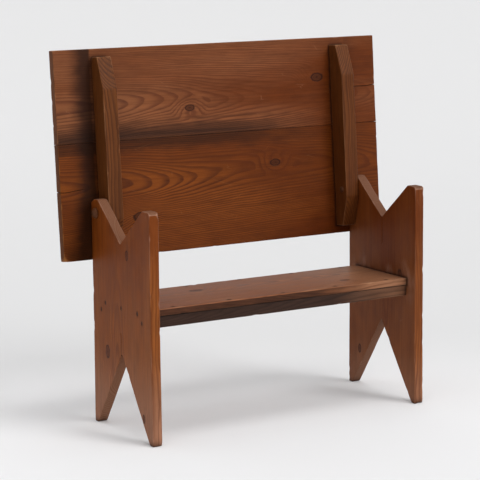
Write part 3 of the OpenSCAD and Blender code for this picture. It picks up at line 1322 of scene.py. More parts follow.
@dataclass(frozen=True)
class NailRow:
    """The nails of one node.

    Attributes:
        node: The node.
        outward: The way that their heads face.
        grain: The way that the heads' long sides lie, with the grain.
        length: The nails' length, in metres.
        body: The body that they move with.
        head_l: Length of a head.
        head_w: Width of a head.
        head_t: Thickness of a head.
        depth: How far a head lies below the wood.
        play: Play round a head.
        over: How far a pocket's cutter reaches past the wood.
        bloom: How dark the iron's stain is, from 0 to 1.
        bloom_reach: How far it reaches across the grain.
        bloom_slim: Its breadth across the grain, as a share of its length along it.
        bloom_depth: How deep it reaches into the wood.
    """

    node: str
    outward: Vector
    grain: Vector
    length: float
    body: str = "base"
    head_l: float = 9 * MM
    head_w: float = 6 * MM
    head_t: float = 1.6 * MM
    depth: float = 0.4 * MM
    play: float = 0.05 * MM
    over: float = 2 * MM
    bloom: float = 0.8
    bloom_reach: float = 7.5 * MM
    bloom_slim: float = 0.7
    bloom_depth: float = 6 * MM

    def axes(self) -> tuple[Vector, Vector, Vector]:
        """Gives a nail's length, width and height directions."""
        return self.grain, self.outward.cross(self.grain), self.outward

    def heads(self) -> list[Vector]:
        """Finds the middle of each nail's head, on its outer face.

        Returns:
            The middles, in the shared frame, in a fixed order.
        """
        shape = bmesh.new()
        shape.from_mesh(frame["nodes"][self.node].data)
        bmesh.ops.remove_doubles(shape, verts=shape.verts, dist=1e-6)
        left = set(shape.verts)
        found = []
        while left:
            island = set()
            edge = [left.pop()]
            while edge:
                vert = edge.pop()
                island.add(vert)
                beside = {link.other_vert(vert) for link in vert.link_edges} & left
                left -= beside
                edge.extend(beside)
            reach = max(vert.co @ self.outward for vert in island)
            face = [vert.co for vert in island if vert.co @ self.outward > reach - 1e-5]
            found.append(sum(face, Vector()) / len(face))
        shape.free()
        return sorted(found, key=lambda place: tuple(round(share, 4) for share in place))

    def pockets(self) -> list[Block]:
        """Gives the pockets that the heads sink into.

        Returns:
            A block for each head, open to the outside.
        """
        tall = self.over + self.depth + self.head_t + self.play
        size = (self.head_l + 2 * self.play, self.head_w + 2 * self.play, tall)
        lift = self.outward * (self.over + self.depth - tall / 2)
        return [Block(head + lift, self.axes(), size) for head in self.heads()]

    def stain(self, places: Array) -> Array:
        """Gives the dark bloom of the iron round each head.

        Args:
            places: Points in the shared frame.

        Returns:
            The bloom at each point, from 0 to 1.
        """
        bloom = np.zeros(len(places))
        for head in self.heads():
            offset = (places - np.array(head)) @ np.array(self.axes()).T
            gap = np.hypot(offset[:, 0] * self.bloom_slim, offset[:, 1])
            bloom = np.maximum(bloom, bell(gap, self.bloom_reach) * (np.abs(offset[:, 2]) < self.bloom_depth))
        return bloom * self.bloom


def near_heads(places: Iterable[float]) -> tuple[float, ...]:
    """Gives grid lines round nail heads.

    Args:
        places: The heads' middles along one axis, in metres.

    Returns:
        Lines at both sides of each head, so that the stain round it can be drawn.
    """
    shifts = (-13, -9, -6.5, 6.5, 9, 13)
    return tuple(sorted({round(place + shift * MM, 5) for place in places for shift in shifts}))


class Nailing:
    """The cut nails, made by a node tree that sets a nail at each point of a row."""

    # The head that is seen and the shank under it, as shares of the head's length and width
    SEEN = 0.95
    SHANK = 0.42

    # How far a head is twisted, in radians, how deep its dents are, in metres, and how many a metre holds
    TWIST = 0.05
    DENT = 0.6 * MM
    BLOWS = 420.0

    def __init__(self, finish: IronFinish) -> None:
        """Builds the iron and the node tree once for all nails.

        Args:
            finish: The nails' iron.
        """
        self.iron = finish.build()
        self.tree = bpy.data.node_groups.new("cut_nails", "GeometryNodeTree")
        self._fill()

    def _add(self, kind: str, settings: dict[str, object], values: dict[int | str, object]) -> Outputs:
        """Adds a node to the tree and gives its outputs."""
        return add_node(self.tree, kind, settings, values).outputs

    def _scaled(self, socket: bpy.types.NodeSocket, factor: float) -> bpy.types.NodeSocket:
        """Multiplies a socket by a number."""
        return self._add("ShaderNodeMath", {"operation": "MULTIPLY"}, {0: socket, 1: factor})[0]

    def _name_sockets(self) -> Outputs:
        """Names the tree's inputs and its output.

        Returns:
            The inputs, as the outputs of the tree's own input node.
        """
        sockets = self.tree.interface
        sockets.new_socket("Geometry", in_out="INPUT", socket_type="NodeSocketGeometry")
        for name in ("Head Length", "Head Width", "Head Thickness", "Shank Length", "Twist", "Dent"):
            sockets.new_socket(name, in_out="INPUT", socket_type="NodeSocketFloat")
        sockets.new_socket("Turn", in_out="INPUT", socket_type="NodeSocketVector")
        sockets.new_socket("Seed", in_out="INPUT", socket_type="NodeSocketInt")
        sockets.new_socket("Iron", in_out="INPUT", socket_type="NodeSocketMaterial")
        sockets.new_socket("Geometry", in_out="OUTPUT", socket_type="NodeSocketGeometry")
        return self.tree.nodes.new("NodeGroupInput").outputs

    def _one_nail(self, given: Outputs) -> bpy.types.NodeSocket:
        """Draws one nail, its head's outer face at the origin and its shank below.

        Args:
            given: The tree's inputs.

        Returns:
            The nail's geometry.
        """
        size = self._add("ShaderNodeCombineXYZ", {}, {
            0: given["Head Length"], 1: given["Head Width"], 2: given["Head Thickness"]})
        head = self._add("GeometryNodeMeshCube", {}, {
            "Size": size[0], "Vertices X": 7, "Vertices Y": 5, "Vertices Z": 3})
        sunk = self._add("ShaderNodeCombineXYZ", {}, {2: self._scaled(given["Head Thickness"], -0.5)})
        set_head = self._add("GeometryNodeTransform", {}, {"Geometry": head["Mesh"], "Translation": sunk[0]})
        shank = self._add("GeometryNodeMeshCone", {"fill_type": "NGON"}, {
            "Vertices": 4, "Radius Top": math.sqrt(0.5), "Radius Bottom": math.sqrt(0.125), "Depth": 1.0})
        square = self._add("GeometryNodeTransform", {}, {
            "Geometry": shank["Mesh"], "Rotation": (0, 0, math.radians(45))})
        slim = self._add("ShaderNodeCombineXYZ", {}, {
            0: self._scaled(given["Head Length"], self.SHANK),
            1: self._scaled(given["Head Width"], self.SHANK),
            2: given["Shank Length"]})
        drop = self._add("ShaderNodeCombineXYZ", {}, {2: self._scaled(given["Shank Length"], -1.0)})
        set_shank = self._add("GeometryNodeTransform", {}, {
            "Geometry": square[0], "Scale": slim[0], "Translation": drop[0]})
        nail = self.tree.nodes.new("GeometryNodeJoinGeometry")
        self.tree.links.new(set_shank[0], nail.inputs[0])
        self.tree.links.new(set_head[0], nail.inputs[0])
        return nail.outputs[0]

    def _fill(self) -> None:
        """Fills the tree: a nail at each point, turned a little at random and hammered."""
        given = self._name_sockets()
        twist = self._add("FunctionNodeRandomValue", {"data_type": "FLOAT"}, {
            2: self._scaled(given["Twist"], -1.0), 3: given["Twist"], "Seed": given["Seed"]})
        spin = self._add("ShaderNodeCombineXYZ", {}, {2: twist[1]})
        row = self._add("GeometryNodeInstanceOnPoints", {}, {
            "Points": given["Geometry"], "Instance": self._one_nail(given), "Rotation": given["Turn"]})
        turned = self._add("GeometryNodeRotateInstances", {}, {"Instances": row[0], "Rotation": spin[0]})
        real = self._add("GeometryNodeRealizeInstances", {}, {0: turned[0]})
        blows = self._add("ShaderNodeTexNoise", {}, {"Scale": self.BLOWS, "Detail": 1.0})
        depth = self._add("ShaderNodeMath", {"operation": "MULTIPLY"}, {
            0: blows[0], 1: self._scaled(given["Dent"], -1.0)})
        press = self._add("ShaderNodeVectorMath", {"operation": "SCALE"}, {
            0: self._add("GeometryNodeInputNormal", {}, {})[0], "Scale": depth[0]})
        hammered = self._add("GeometryNodeSetPosition", {}, {"Geometry": real[0], "Offset": press[0]})
        dressed = self._add("GeometryNodeSetMaterial", {}, {
            "Geometry": hammered[0], "Material": given["Iron"]})
        out = self.tree.nodes.new("NodeGroupOutput")
        self.tree.links.new(dressed[0], out.inputs[0])

    def build(self, nails: NailRow, seed: int) -> bpy.types.Object:
        """Makes one node's nails.

        Args:
            nails: The row.
            seed: The seed of their small differences.

        Returns:
            The nails as one plain mesh.
        """
        name = f"{nails.node}_iron"
        mesh = bpy.data.meshes.new(name)
        mesh.from_pydata([tuple(place) for place in nails.heads()], [], [])
        piece = bpy.data.objects.new(name, mesh)
        bpy.context.scene.collection.objects.link(piece)
        turn = Matrix(nails.axes()).transposed().to_euler()
        modifier = piece.modifiers.new("nails", "NODES")
        modifier.node_group = self.tree
        wanted = {
            "Head Length": nails.head_l * self.SEEN,
            "Head Width": nails.head_w * self.SEEN,
            "Head Thickness": nails.head_t,
            "Shank Length": nails.length,
            "Twist": self.TWIST,
            "Dent": self.DENT,
            "Turn": tuple(turn),
            "Seed": seed,
            "Iron": self.iron,
        }
        for item in self.tree.interface.items_tree:
            if item.item_type == "SOCKET" and item.in_out == "INPUT" and item.name in wanted:
                modifier[item.identifier] = wanted[item.name]
        return settle(piece)


# Sub-assemblies

@dataclass
class PlankEnd:
    """One of the two plank ends, with a V between its feet and a V in its top.

    Attributes:
        node: The node that it stands for.
        finish: Its wood.
        nails: The rows of nails that are driven through it.
        splits: Its drying splits.
        seed: The seed of its wear.
        foot_vee_h: Height of the V between the feet.
        sole_d: Depth of a foot's sole.
        foot_flare: Spread of a foot past the plank's edge.
        top_vee_h: Height of the V in the top.
        tip_d: Depth of a tip beside that V.
        front_round: Radius of the front tip's corner.
        rear_round: Radius of the rear tip's corner, round the pivot.
        darkening: How dark it is made near the floor and round the seat's end, from 0 to 1; round the seat's
            end this is painted shade.
        floor_dark_reach: How far up from the floor that darkening reaches.
        seat_shade_reach: How far round the seat's end the painted shade reaches.
        rub: How worn its inner face is beside the seat, from 0 to 1.
        rub_z: The height at which it is worn most.
        rub_reach: How far up and down that wear reaches.
    """

    node: str
    finish: WoodFinish
    nails: tuple[NailRow, ...]
    splits: tuple[Split, ...]
    seed: int
    foot_vee_h: float = 242 * MM
    sole_d: float = 19 * MM
    foot_flare: float = 3 * MM
    top_vee_h: float = 115 * MM
    tip_d: float = 43 * MM
    front_round: float = 10 * MM
    rear_round: float = 42 * MM
    darkening: float = 0.75
    floor_dark_reach: float = 18 * MM
    seat_shade_reach: float = 9 * MM
    rub: float = 0.6
    rub_z: float = 370 * MM
    rub_reach: float = 90 * MM

    def build(self) -> bpy.types.Object:
        """Builds the plank and dresses it.

        Returns:
            The plank, with its bore and its nails' pockets.
        """
        low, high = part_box(self.node)
        middle = (low.y + high.y) / 2
        half = (high.y - low.y) / 2 - self.foot_flare
        spread = self.foot_flare / half
        floor_half = (half + self.foot_flare - self.sole_d) / (1 + spread)
        tip_half = half - self.tip_d
        pivot_y = SWING.pivot.y - middle
        corners = (-tip_half, tip_half, -floor_half, floor_half, 0.0)
        holds = [corner + shift for corner in corners for shift in (-SAW_REACH, 0.0, SAW_REACH)]
        holds += [pivot_y + self.rear_round * math.sin(math.radians(a)) for a in (10, 20, 30, 38)]
        holds += [self.front_round * (1 - math.sin(math.radians(a))) - half for a in (20, 40, 58)]
        board = BoardMesh(
            start=-half, stop=half, low=softened(self._foot_line(floor_half)),
            high=softened(self._tip_line(half, tip_half, pivot_y, high.z)), thickness=high.x - low.x,
            grain_on_span=True, extra_stations=tuple(sorted(holds)), splits=self.splits, seed=self.seed,
            wear_depth=0.0014, nicks=22)

        def place(points: Array) -> Array:
            """Stands the plank up and spreads its feet.

            Args:
                points: Points of the board's own frame.

            Returns:
                The same points in the shared frame.
            """
            across, rise, deep = points.T
            flare = 1 + spread * np.clip(1 - rise / self.foot_vee_h, 0, 1)
            return np.stack([low.x + deep, middle + across * flare, rise], 1)

        piece = board.build(place, f"{self.node}_board")
        carve(piece, [SWING.bore_of(self.node), *[pocket for row in self.nails for pocket in row.pockets()]])
        # Darker near the floor, and painted shade round the seat's end
        raise_mask(piece, "dirt_and_shade", self._darkening)
        raise_mask(piece, "wear", self._rubbed)
        for row in self.nails:
            raise_mask(piece, "dirt_and_shade", row.stain)
        piece.data.materials.append(self.finish.build())
        return piece

    def _foot_line(self, floor_half: float) -> Bound:
        """Gives the V between the feet.

        Args:
            floor_half: Half the V's depth at the floor.

        Returns:
            The plank's lower bound.
        """
        return lambda stations: np.maximum(self.foot_vee_h * (1 - np.abs(stations) / floor_half), 0)

    def _tip_line(self, half: float, tip_half: float, pivot_y: float, height: float) -> Bound:
        """Gives the V in the top and the two rounded tips.

        Args:
            half: Half the plank's depth.
            tip_half: Half the V's depth at the tips.
            pivot_y: The pivot's place from the plank's middle.
            height: The plank's height.

        Returns:
            The plank's upper bound.
        """
        def bound(stations: Array) -> Array:
            """Gives the height at each station.

            Args:
                stations: Places across the plank from its middle.

            Returns:
                The heights.
            """
            vee = np.minimum(height - self.top_vee_h * (1 - np.abs(stations) / tip_half), height)
            back = np.clip(stations - pivot_y, 0, self.rear_round * 0.999)
            rear = height - self.rear_round + np.sqrt(self.rear_round ** 2 - back ** 2)
            ahead = np.clip(self.front_round - half - stations, 0, self.front_round)
            front = height - self.front_round + np.sqrt(self.front_round ** 2 - ahead ** 2)
            return np.minimum(vee, np.minimum(rear, front))

        return bound

    def _darkening(self, places: Array) -> Array:
        """Gives the darkening near the floor and the painted shade round the seat's end.

        Args:
            places: Points in the shared frame.

        Returns:
            The darkening at each point, from 0 to 1.
        """
        low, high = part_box("seat_board")
        inner = np.abs(places[:, 0]) < high.x
        gap = np.hypot(outside(places[:, 1], low.y, high.y), outside(places[:, 2], low.z, high.z))
        floor = fading(places[:, 2], self.floor_dark_reach)
        return np.maximum(floor, fading(gap, self.seat_shade_reach) * inner) * self.darkening

    def _rubbed(self, places: Array) -> Array:
        """Gives the wear of the inner face beside the seat, where legs and hands rub it.

        Args:
            places: Points in the shared frame.

        Returns:
            The wear at each point, from 0 to 1.
        """
        gap_half = -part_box("left_cleat")[0].x
        inner = np.abs(places[:, 0]) < gap_half + SKIN
        return inner * bell(places[:, 2] - self.rub_z, self.rub_reach) * self.rub


@dataclass
class Seat:
    """The seat board and the two rails under it.

    Attributes:
        seat_finish: The seat board's wood.
        rail_finishes: The front and back rails' wood.
        nails: The nails from the seat board into the rails.
        tongue_l: Length of the seat board's tongues, hidden in the plank ends.
        tenon_l: Length of the rails' tenons, hidden there too.
        split_y: Distance from the front edge to the seat's drying split.
        split_l: Length of that split.
        corner_shade: How dark the painted shade on the seat and the rails is beside the plank ends, from 0 to
            1.
        under_seat_shade: How dark the painted shade on the rails is under the seat.
        seat_corner_reach: How far in from the plank ends the seat's painted shade reaches.
        rail_corner_reach: How far in from them the rails' painted shade reaches.
        seat_shade: How far down from the seat that painted shade reaches.
        front_shade: How dark the painted shade on the front edge is towards the left, from 0 to 1.
        front_shade_lift: How much less of it there is towards the right, where the seat carries painted
            light.
        lift_x: Where along the seat it starts to lessen.
        lift_l: How long it takes from there.
        worn: How worn the seat is all over, from 0 to 1.
        sat_on: How much more worn it is where people sat.
        sat_deep: How much of that wear reaches to the seat's rear edge, as a share.
        sat_reach: How far back from the front edge the rest of it reaches.
    """

    seat_finish: WoodFinish
    rail_finishes: tuple[WoodFinish, WoodFinish]
    nails: NailRow
    tongue_l: float = 10 * MM
    tenon_l: float = 10 * MM
    split_y: float = 83 * MM
    split_l: float = 120 * MM
    corner_shade: float = 0.8
    under_seat_shade: float = 0.9
    seat_corner_reach: float = 12 * MM
    rail_corner_reach: float = 10 * MM
    seat_shade: float = 3 * MM
    front_shade: float = 0.74
    front_shade_lift: float = 0.5
    lift_x: float = 120 * MM
    lift_l: float = 200 * MM
    worn: float = 0.12
    sat_on: float = 0.4
    sat_deep: float = 0.45
    sat_reach: float = 70 * MM

    # Where people sat: the place along the seat, and how far to its sides the wear reaches, in metres
    SITTERS = ((-0.2, 0.16), (0.17, 0.18))

    def build(self) -> dict[str, bpy.types.Object]:
        """Builds the seat board and the rails.

        Returns:
            Each piece, under the name of its node.
        """
        return {
            "seat_board": self._board(),
            "front_rail": self._rail("front_rail", self.rail_finishes[0], 41),
            "back_rail": self._rail("back_rail", self.rail_finishes[1], 43),
        }

    def _board(self) -> bpy.types.Object:
        """Builds the seat board, worn along its front edge.

        Returns:
            The board, with its nails' pockets.
        """
        low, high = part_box("seat_board")
        heads = self.nails.heads()
        split = Split(across=low.y + self.split_y, at_high_end=False, length=self.split_l)
        board = BoardMesh(
            start=low.x + self.tongue_l, stop=high.x - self.tongue_l, low=level(low.y), high=level(high.y),
            thickness=high.z - low.z, grain_on_span=False, splits=(split,),
            extra_stations=near_heads(head.x for head in heads),
            extra_spans=near_heads(head.y for head in heads), seed=31, wear_depth=0.0016, nicks=16)
        piece = board.build(lambda p: p + np.array([0, 0, low.z]), "seat_board_wood")
        carve(piece, self.nails.pockets())
        stop = high.x - self.tongue_l
        # Painted shade on the seat beside the plank ends
        corner = self.corner_shade
        raise_mask(piece, "dirt_and_shade", lambda p: fading(stop - np.abs(p[:, 0]), self.seat_corner_reach) * corner)
        raise_mask(piece, "dirt_and_shade", self.nails.stain)
        raise_mask(piece, "wear", self._sat_on)
        # Painted shade on the seat's front edge, less towards the right
        raise_mask(piece, "dirt_and_shade", self._front_shade)
        piece.data.materials.append(self.seat_finish.build())
        return piece

    def _front_shade(self, places: Array) -> Array:
        """Gives the painted shade on the seat's front edge, less of it towards the right.

        Args:
            places: Points in the shared frame.

        Returns:
            The painted shade at each point, from 0 to 1.
        """
        low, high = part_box("seat_board")
        front = (places[:, 1] < low.y + SAW_REACH) * (places[:, 2] < high.z - SAW_REACH)
        rightward = np.clip((places[:, 0] - self.lift_x) / self.lift_l, 0, 1)
        return front * (self.front_shade - self.front_shade_lift * rightward)

    def _sat_on(self, places: Array) -> Array:
        """Gives the wear of the seat's upper face where people sat, most of it near the front edge.

        Args:
            places: Points in the shared frame.

        Returns:
            The wear at each point, from 0 to 1.
        """
        low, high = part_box("seat_board")
        top = places[:, 2] > high.z - SKIN
        front = fading(np.clip(places[:, 1] - low.y, 0, 1), self.sat_reach)
        sitters = np.max([bell(places[:, 0] - place, reach) for place, reach in self.SITTERS], axis=0)
        return top * (self.worn + self.sat_on * sitters * (self.sat_deep + (1 - self.sat_deep) * front))

    def _rail(self, node: str, finish: WoodFinish, seed: int) -> bpy.types.Object:
        """Builds a rail between its shoulders.

        Args:
            node: The node that it stands for.
            finish: Its wood.
            seed: The seed of its wear.

        Returns:
            The rail.
        """
        low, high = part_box(node)
        stop = high.x - self.tenon_l
        board = BoardMesh(
            start=-stop, stop=stop, low=level(low.z), high=level(high.z), thickness=high.y - low.y,
            grain_on_span=False, ease=0.002, seed=seed, wear_depth=0.0008, nicks=8)
        piece = board.build(lambda p: np.stack([p[:, 0], low.y + p[:, 2], p[:, 1]], 1), f"{node}_wood")
        corner = self.corner_shade
        # Painted shade on the rails beside the plank ends
        raise_mask(piece, "dirt_and_shade", lambda p: fading(stop - np.abs(p[:, 0]), self.rail_corner_reach) * corner)
        # Painted shade on the rails under the seat's edge
        raise_mask(piece, "dirt_and_shade", lambda p: fading(high.z - p[:, 2], self.seat_shade) * self.under_seat_shade)
        piece.data.materials.append(finish.build())
        return piece


@dataclass
class TableTop:
    """The two boards of the table top and the cleats that hold them together.

    Attributes:
        board_finishes: The lower and upper boards' wood.
        cleat_finishes: The left and right cleats' wood.
        nails: The nails through the boards into the cleats.
        pivot_to_edge: Distance from the pivot to the lower edge.
        width: Width of the top.
        thickness: Thickness of its boards.
        lower_w: Width of the lower board.
        seam: Open seam between the boards.
        tongue_l: Length of the upper board's tongue.
        tongue_t: Thickness of that tongue.
        tongue_root: How far the tongue's root reaches into the upper board.
        tongue_short: How far the tongue stops short of the boards' ends.
        groove_past: How far the groove's cutter reaches past them.
        play: Play round the tongue.
        cleat_inset: Distance from a cleat's tip to the top's edge.
        cleat_h: Height of a cleat.
        cleat_tip_h: Its height at its tip.
        cleat_bevel_l: Length of the bevel at its tip.
        lower_split_up: Distance from the lower edge up to the lower board's drying split.
        lower_split_l: Length of that split.
        upper_split_up: Distance from the joint up to the upper board's drying split.
        upper_split_l: Length of that split.
        nail_margin: How far from a board's edges a nail has to be to get grid lines of its own.
        cleat_shade_reach: How far round the cleats the painted shade in their corners reaches.
        overhang_shade_reach: How far past the cleats the boards' ends carry painted shade, which stands for
            the cleats' shadow.
        overhang_shade_from: How far past the cleats that painted shade takes to set in.
        overhang_shade_up: How far up from the cleats' feet it is darker still.
    """

    board_finishes: tuple[WoodFinish, WoodFinish]
    cleat_finishes: tuple[WoodFinish, WoodFinish]
    nails: tuple[NailRow, ...]
    pivot_to_edge: float = 143 * MM
    width: float = 630 * MM
    thickness: float = 27 * MM
    lower_w: float = 350 * MM
    seam: float = 0.8 * MM
    tongue_l: float = 10 * MM
    tongue_t: float = 9 * MM
    tongue_root: float = 20 * MM
    tongue_short: float = 0.8 * MM
    groove_past: float = 50 * MM
    play: float = 0.1 * MM
    cleat_inset: float = 25 * MM
    cleat_h: float = 67 * MM
    cleat_tip_h: float = 38 * MM
    cleat_bevel_l: float = 96 * MM
    lower_split_up: float = 210 * MM
    lower_split_l: float = 75 * MM
    upper_split_up: float = 120 * MM
    upper_split_l: float = 110 * MM
    nail_margin: float = 20 * MM
    cleat_shade_reach: float = 7 * MM
    overhang_shade_reach: float = 70 * MM
    overhang_shade_from: float = 10 * MM
    overhang_shade_up: float = 200 * MM

    # How round and worn the boards are where they meet, as a share
    JOINT_EDGE = 0.35

    # How dark the painted shade on the boards' left and right ends past the cleats is, and how much darker
    # low down, from 0 to 1; on the left it stands for the left cleat's shadow
    OVERHANG_SHADE_LEFT = 1.0
    OVERHANG_SHADE_RIGHT = 0.42
    OVERHANG_SHADE_LOW = 0.42

    # How dark the painted shade on the boards is beside the cleats, how worn their upper face is, and how
    # much more at its rim
    SHADE_BESIDE_CLEATS = 0.85
    SCRUBBED = 0.22
    LEANED_ON = 0.3

    def build(self) -> dict[str, bpy.types.Object]:
        """Builds the boards and the cleats.

        Returns:
            Each piece, under the name of its node.
        """
        foot = -self.pivot_to_edge
        joint = foot + self.lower_w
        crown = foot + self.width
        tongue_foot = joint + self.seam - self.tongue_l
        root = joint + self.tongue_root
        split = Split(across=foot + self.lower_split_up, at_high_end=False, length=self.lower_split_l)
        lower = self._board(
            "lower_top_board", (foot, joint), (1.0, self.JOINT_EDGE), self.board_finishes[0], split, 51)
        groove_t = self.tongue_t + 2 * self.play
        carve(lower, [self._strip(tongue_foot - self.play, root, groove_t, self.groove_past)])
        split = Split(across=joint + self.upper_split_up, at_high_end=True, length=self.upper_split_l)
        upper = self._board(
            "upper_top_board", (joint + self.seam, crown), (self.JOINT_EDGE, 1.0), self.board_finishes[1],
            split, 53)
        carve(upper, [self._strip(tongue_foot, root, self.tongue_t, -self.tongue_short)], "UNION")
        return {
            "lower_top_board": lower,
            "upper_top_board": upper,
            "left_cleat": self._cleat("left_cleat", self.cleat_finishes[0], 55),
            "right_cleat": self._cleat("right_cleat", self.cleat_finishes[1], 57),
        }

    def _strip(self, foot: float, crown: float, thick: float, past: float) -> Block:
        """Gives a strip along the middle of the boards' thickness, for the tongue or its groove.

        Args:
            foot: Its lower edge from the pivot, up the boards.
            crown: Its upper edge.
            thick: Its thickness.
            past: How far it reaches past the boards' ends.

        Returns:
            The strip.
        """
        low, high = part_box("lower_top_board")
        middle = np.array([[0, (foot + crown) / 2, SWING.under + self.thickness / 2]])
        size = (high.x - low.x + 2 * past, crown - foot, thick)
        return Block(Vector(SWING.on_top(middle)[0]), (RIGHT, SWING.upward, RIGHT.cross(SWING.upward)), size)

    def _board(
        self,
        node: str,
        span: tuple[float, float],
        edges: tuple[float, float],
        finish: WoodFinish,
        split: Split,
        seed: int,
    ) -> bpy.types.Object:
        """Builds one board of the top.

        Args:
            node: The node that it stands for.
            span: Its lower and upper edges from the pivot, up the boards.
            edges: How round and worn those edges are, as shares.
            finish: Its wood.
            split: Its drying split.
            seed: The seed of its wear.

        Returns:
            The board, with its nails' pockets.
        """
        low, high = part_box(node)
        heads = [head for row in self.nails for head in row.heads()]
        rises = [SWING.off_top(np.array([head]))[0, 1] for head in heads]
        foot, crown = span[0] + self.nail_margin, span[1] - self.nail_margin
        rows = near_heads(rise for rise in rises if foot < rise < crown)
        board = BoardMesh(
            start=low.x, stop=high.x, low=level(span[0]), high=level(span[1]), thickness=self.thickness,
            grain_on_span=False, extra_stations=near_heads(head.x for head in heads), extra_spans=rows,
            splits=(split,), seed=seed, wear_depth=0.0013, nicks=20, low_edge=edges[0], high_edge=edges[1])
        piece = board.build(lambda p: SWING.on_top(p + np.array([0, 0, SWING.under])), f"{node}_wood")
        pockets = [pocket for row in self.nails for pocket in row.pockets()]
        carve(piece, [pocket for pocket, rise in zip(pockets, rises) if span[0] < rise < span[1]])
        # Painted shade beside the cleats, and the cleats' painted shadow on the boards' ends
        raise_mask(piece, "dirt_and_shade", self._painted_cleat_shade)
        raise_mask(piece, "wear", self._used)
        for row in self.nails:
            raise_mask(piece, "dirt_and_shade", row.stain)
        piece.data.materials.append(finish.build())
        return piece

    def _painted_cleat_shade(self, places: Array) -> Array:
        """Gives the painted shade beside the cleats, on the side that they are on, and the cleats' painted
        shadow on the boards' ends past them.

        Args:
            places: Points in the shared frame.

        Returns:
            The painted shade at each point, from 0 to 1.
        """
        low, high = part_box("right_cleat")
        x, rise, back = SWING.off_top(places).T
        foot = self.cleat_inset - self.pivot_to_edge
        crown = self.width - self.cleat_inset - self.pivot_to_edge
        gap = np.hypot(outside(np.abs(x), low.x, high.x), outside(rise, foot, crown))
        near = np.clip(1 - np.abs(back - SWING.under) / (2 * SKIN), 0, 1)
        # Past the cleats, a painted shadow of them on the boards' ends, strongest on the left and darker low
        # down
        past = np.clip(np.abs(x) - high.x, 0, 1)
        clear = np.clip(past / self.overhang_shade_from, 0, 1)
        side = np.where(x < 0, self.OVERHANG_SHADE_LEFT, self.OVERHANG_SHADE_RIGHT)
        overhang_shade = clear * bell(past, self.overhang_shade_reach) * side
        low_shade = np.clip(1 - np.clip(rise - foot, 0, 1) / self.overhang_shade_up, 0, 1) * clear * self.OVERHANG_SHADE_LOW
        return np.maximum(fading(gap, self.cleat_shade_reach) * self.SHADE_BESIDE_CLEATS, overhang_shade + low_shade) * near

    def _used(self, places: Array) -> Array:
        """Gives the wear of the table's upper face, scrubbed and leaned on, least in its middle.

        Args:
            places: Points in the shared frame.

        Returns:
            The wear at each point, from 0 to 1.
        """
        x, rise, back = SWING.off_top(places).T
        middle = self.width / 2 - self.pivot_to_edge
        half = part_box("lower_top_board")[1].x
        rim = np.maximum(np.abs(x) / half, np.abs(rise - middle) / (self.width / 2))
        face = back > SWING.under + self.thickness - SKIN
        return face * (self.SCRUBBED + self.LEANED_ON * np.clip(rim, 0, 1) ** 3)

    def _cleat(self, node: str, finish: WoodFinish, seed: int) -> bpy.types.Object:
        """Builds a cleat, bevelled at both tips.

        Args:
            node: The node that it stands for.
            finish: Its wood.
            seed: The seed of its wear.

        Returns:
            The cleat, with the pin's bore.
        """
        low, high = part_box(node)
        foot = self.cleat_inset - self.pivot_to_edge
        crown = self.width - self.cleat_inset - self.pivot_to_edge
        slope = (self.cleat_h - self.cleat_tip_h) / self.cleat_bevel_l

        def face(stations: Array) -> Array:
            """Gives the cleat's outer face, which lies in front of the boards."""
            tip = np.minimum(stations - foot, crown - stations)
            return -np.minimum(self.cleat_tip_h + slope * tip, self.cleat_h)

        def place(points: Array) -> Array:
            """Stands the cleat against the boards."""
            rise, off, side = points.T
            return SWING.on_top(np.stack([low.x + side, rise, SWING.under + off], 1))

        board = BoardMesh(
            start=foot, stop=crown, low=face, high=level(0.0), thickness=high.x - low.x, grain_on_span=False,
            ease=0.0026, extra_stations=(foot + self.cleat_bevel_l, crown - self.cleat_bevel_l), seed=seed,
            wear_depth=0.0015, nicks=12)
        piece = board.build(place, f"{node}_wood")
        carve(piece, [SWING.bore_of(node)])
        piece.data.materials.append(finish.build())
        return piece


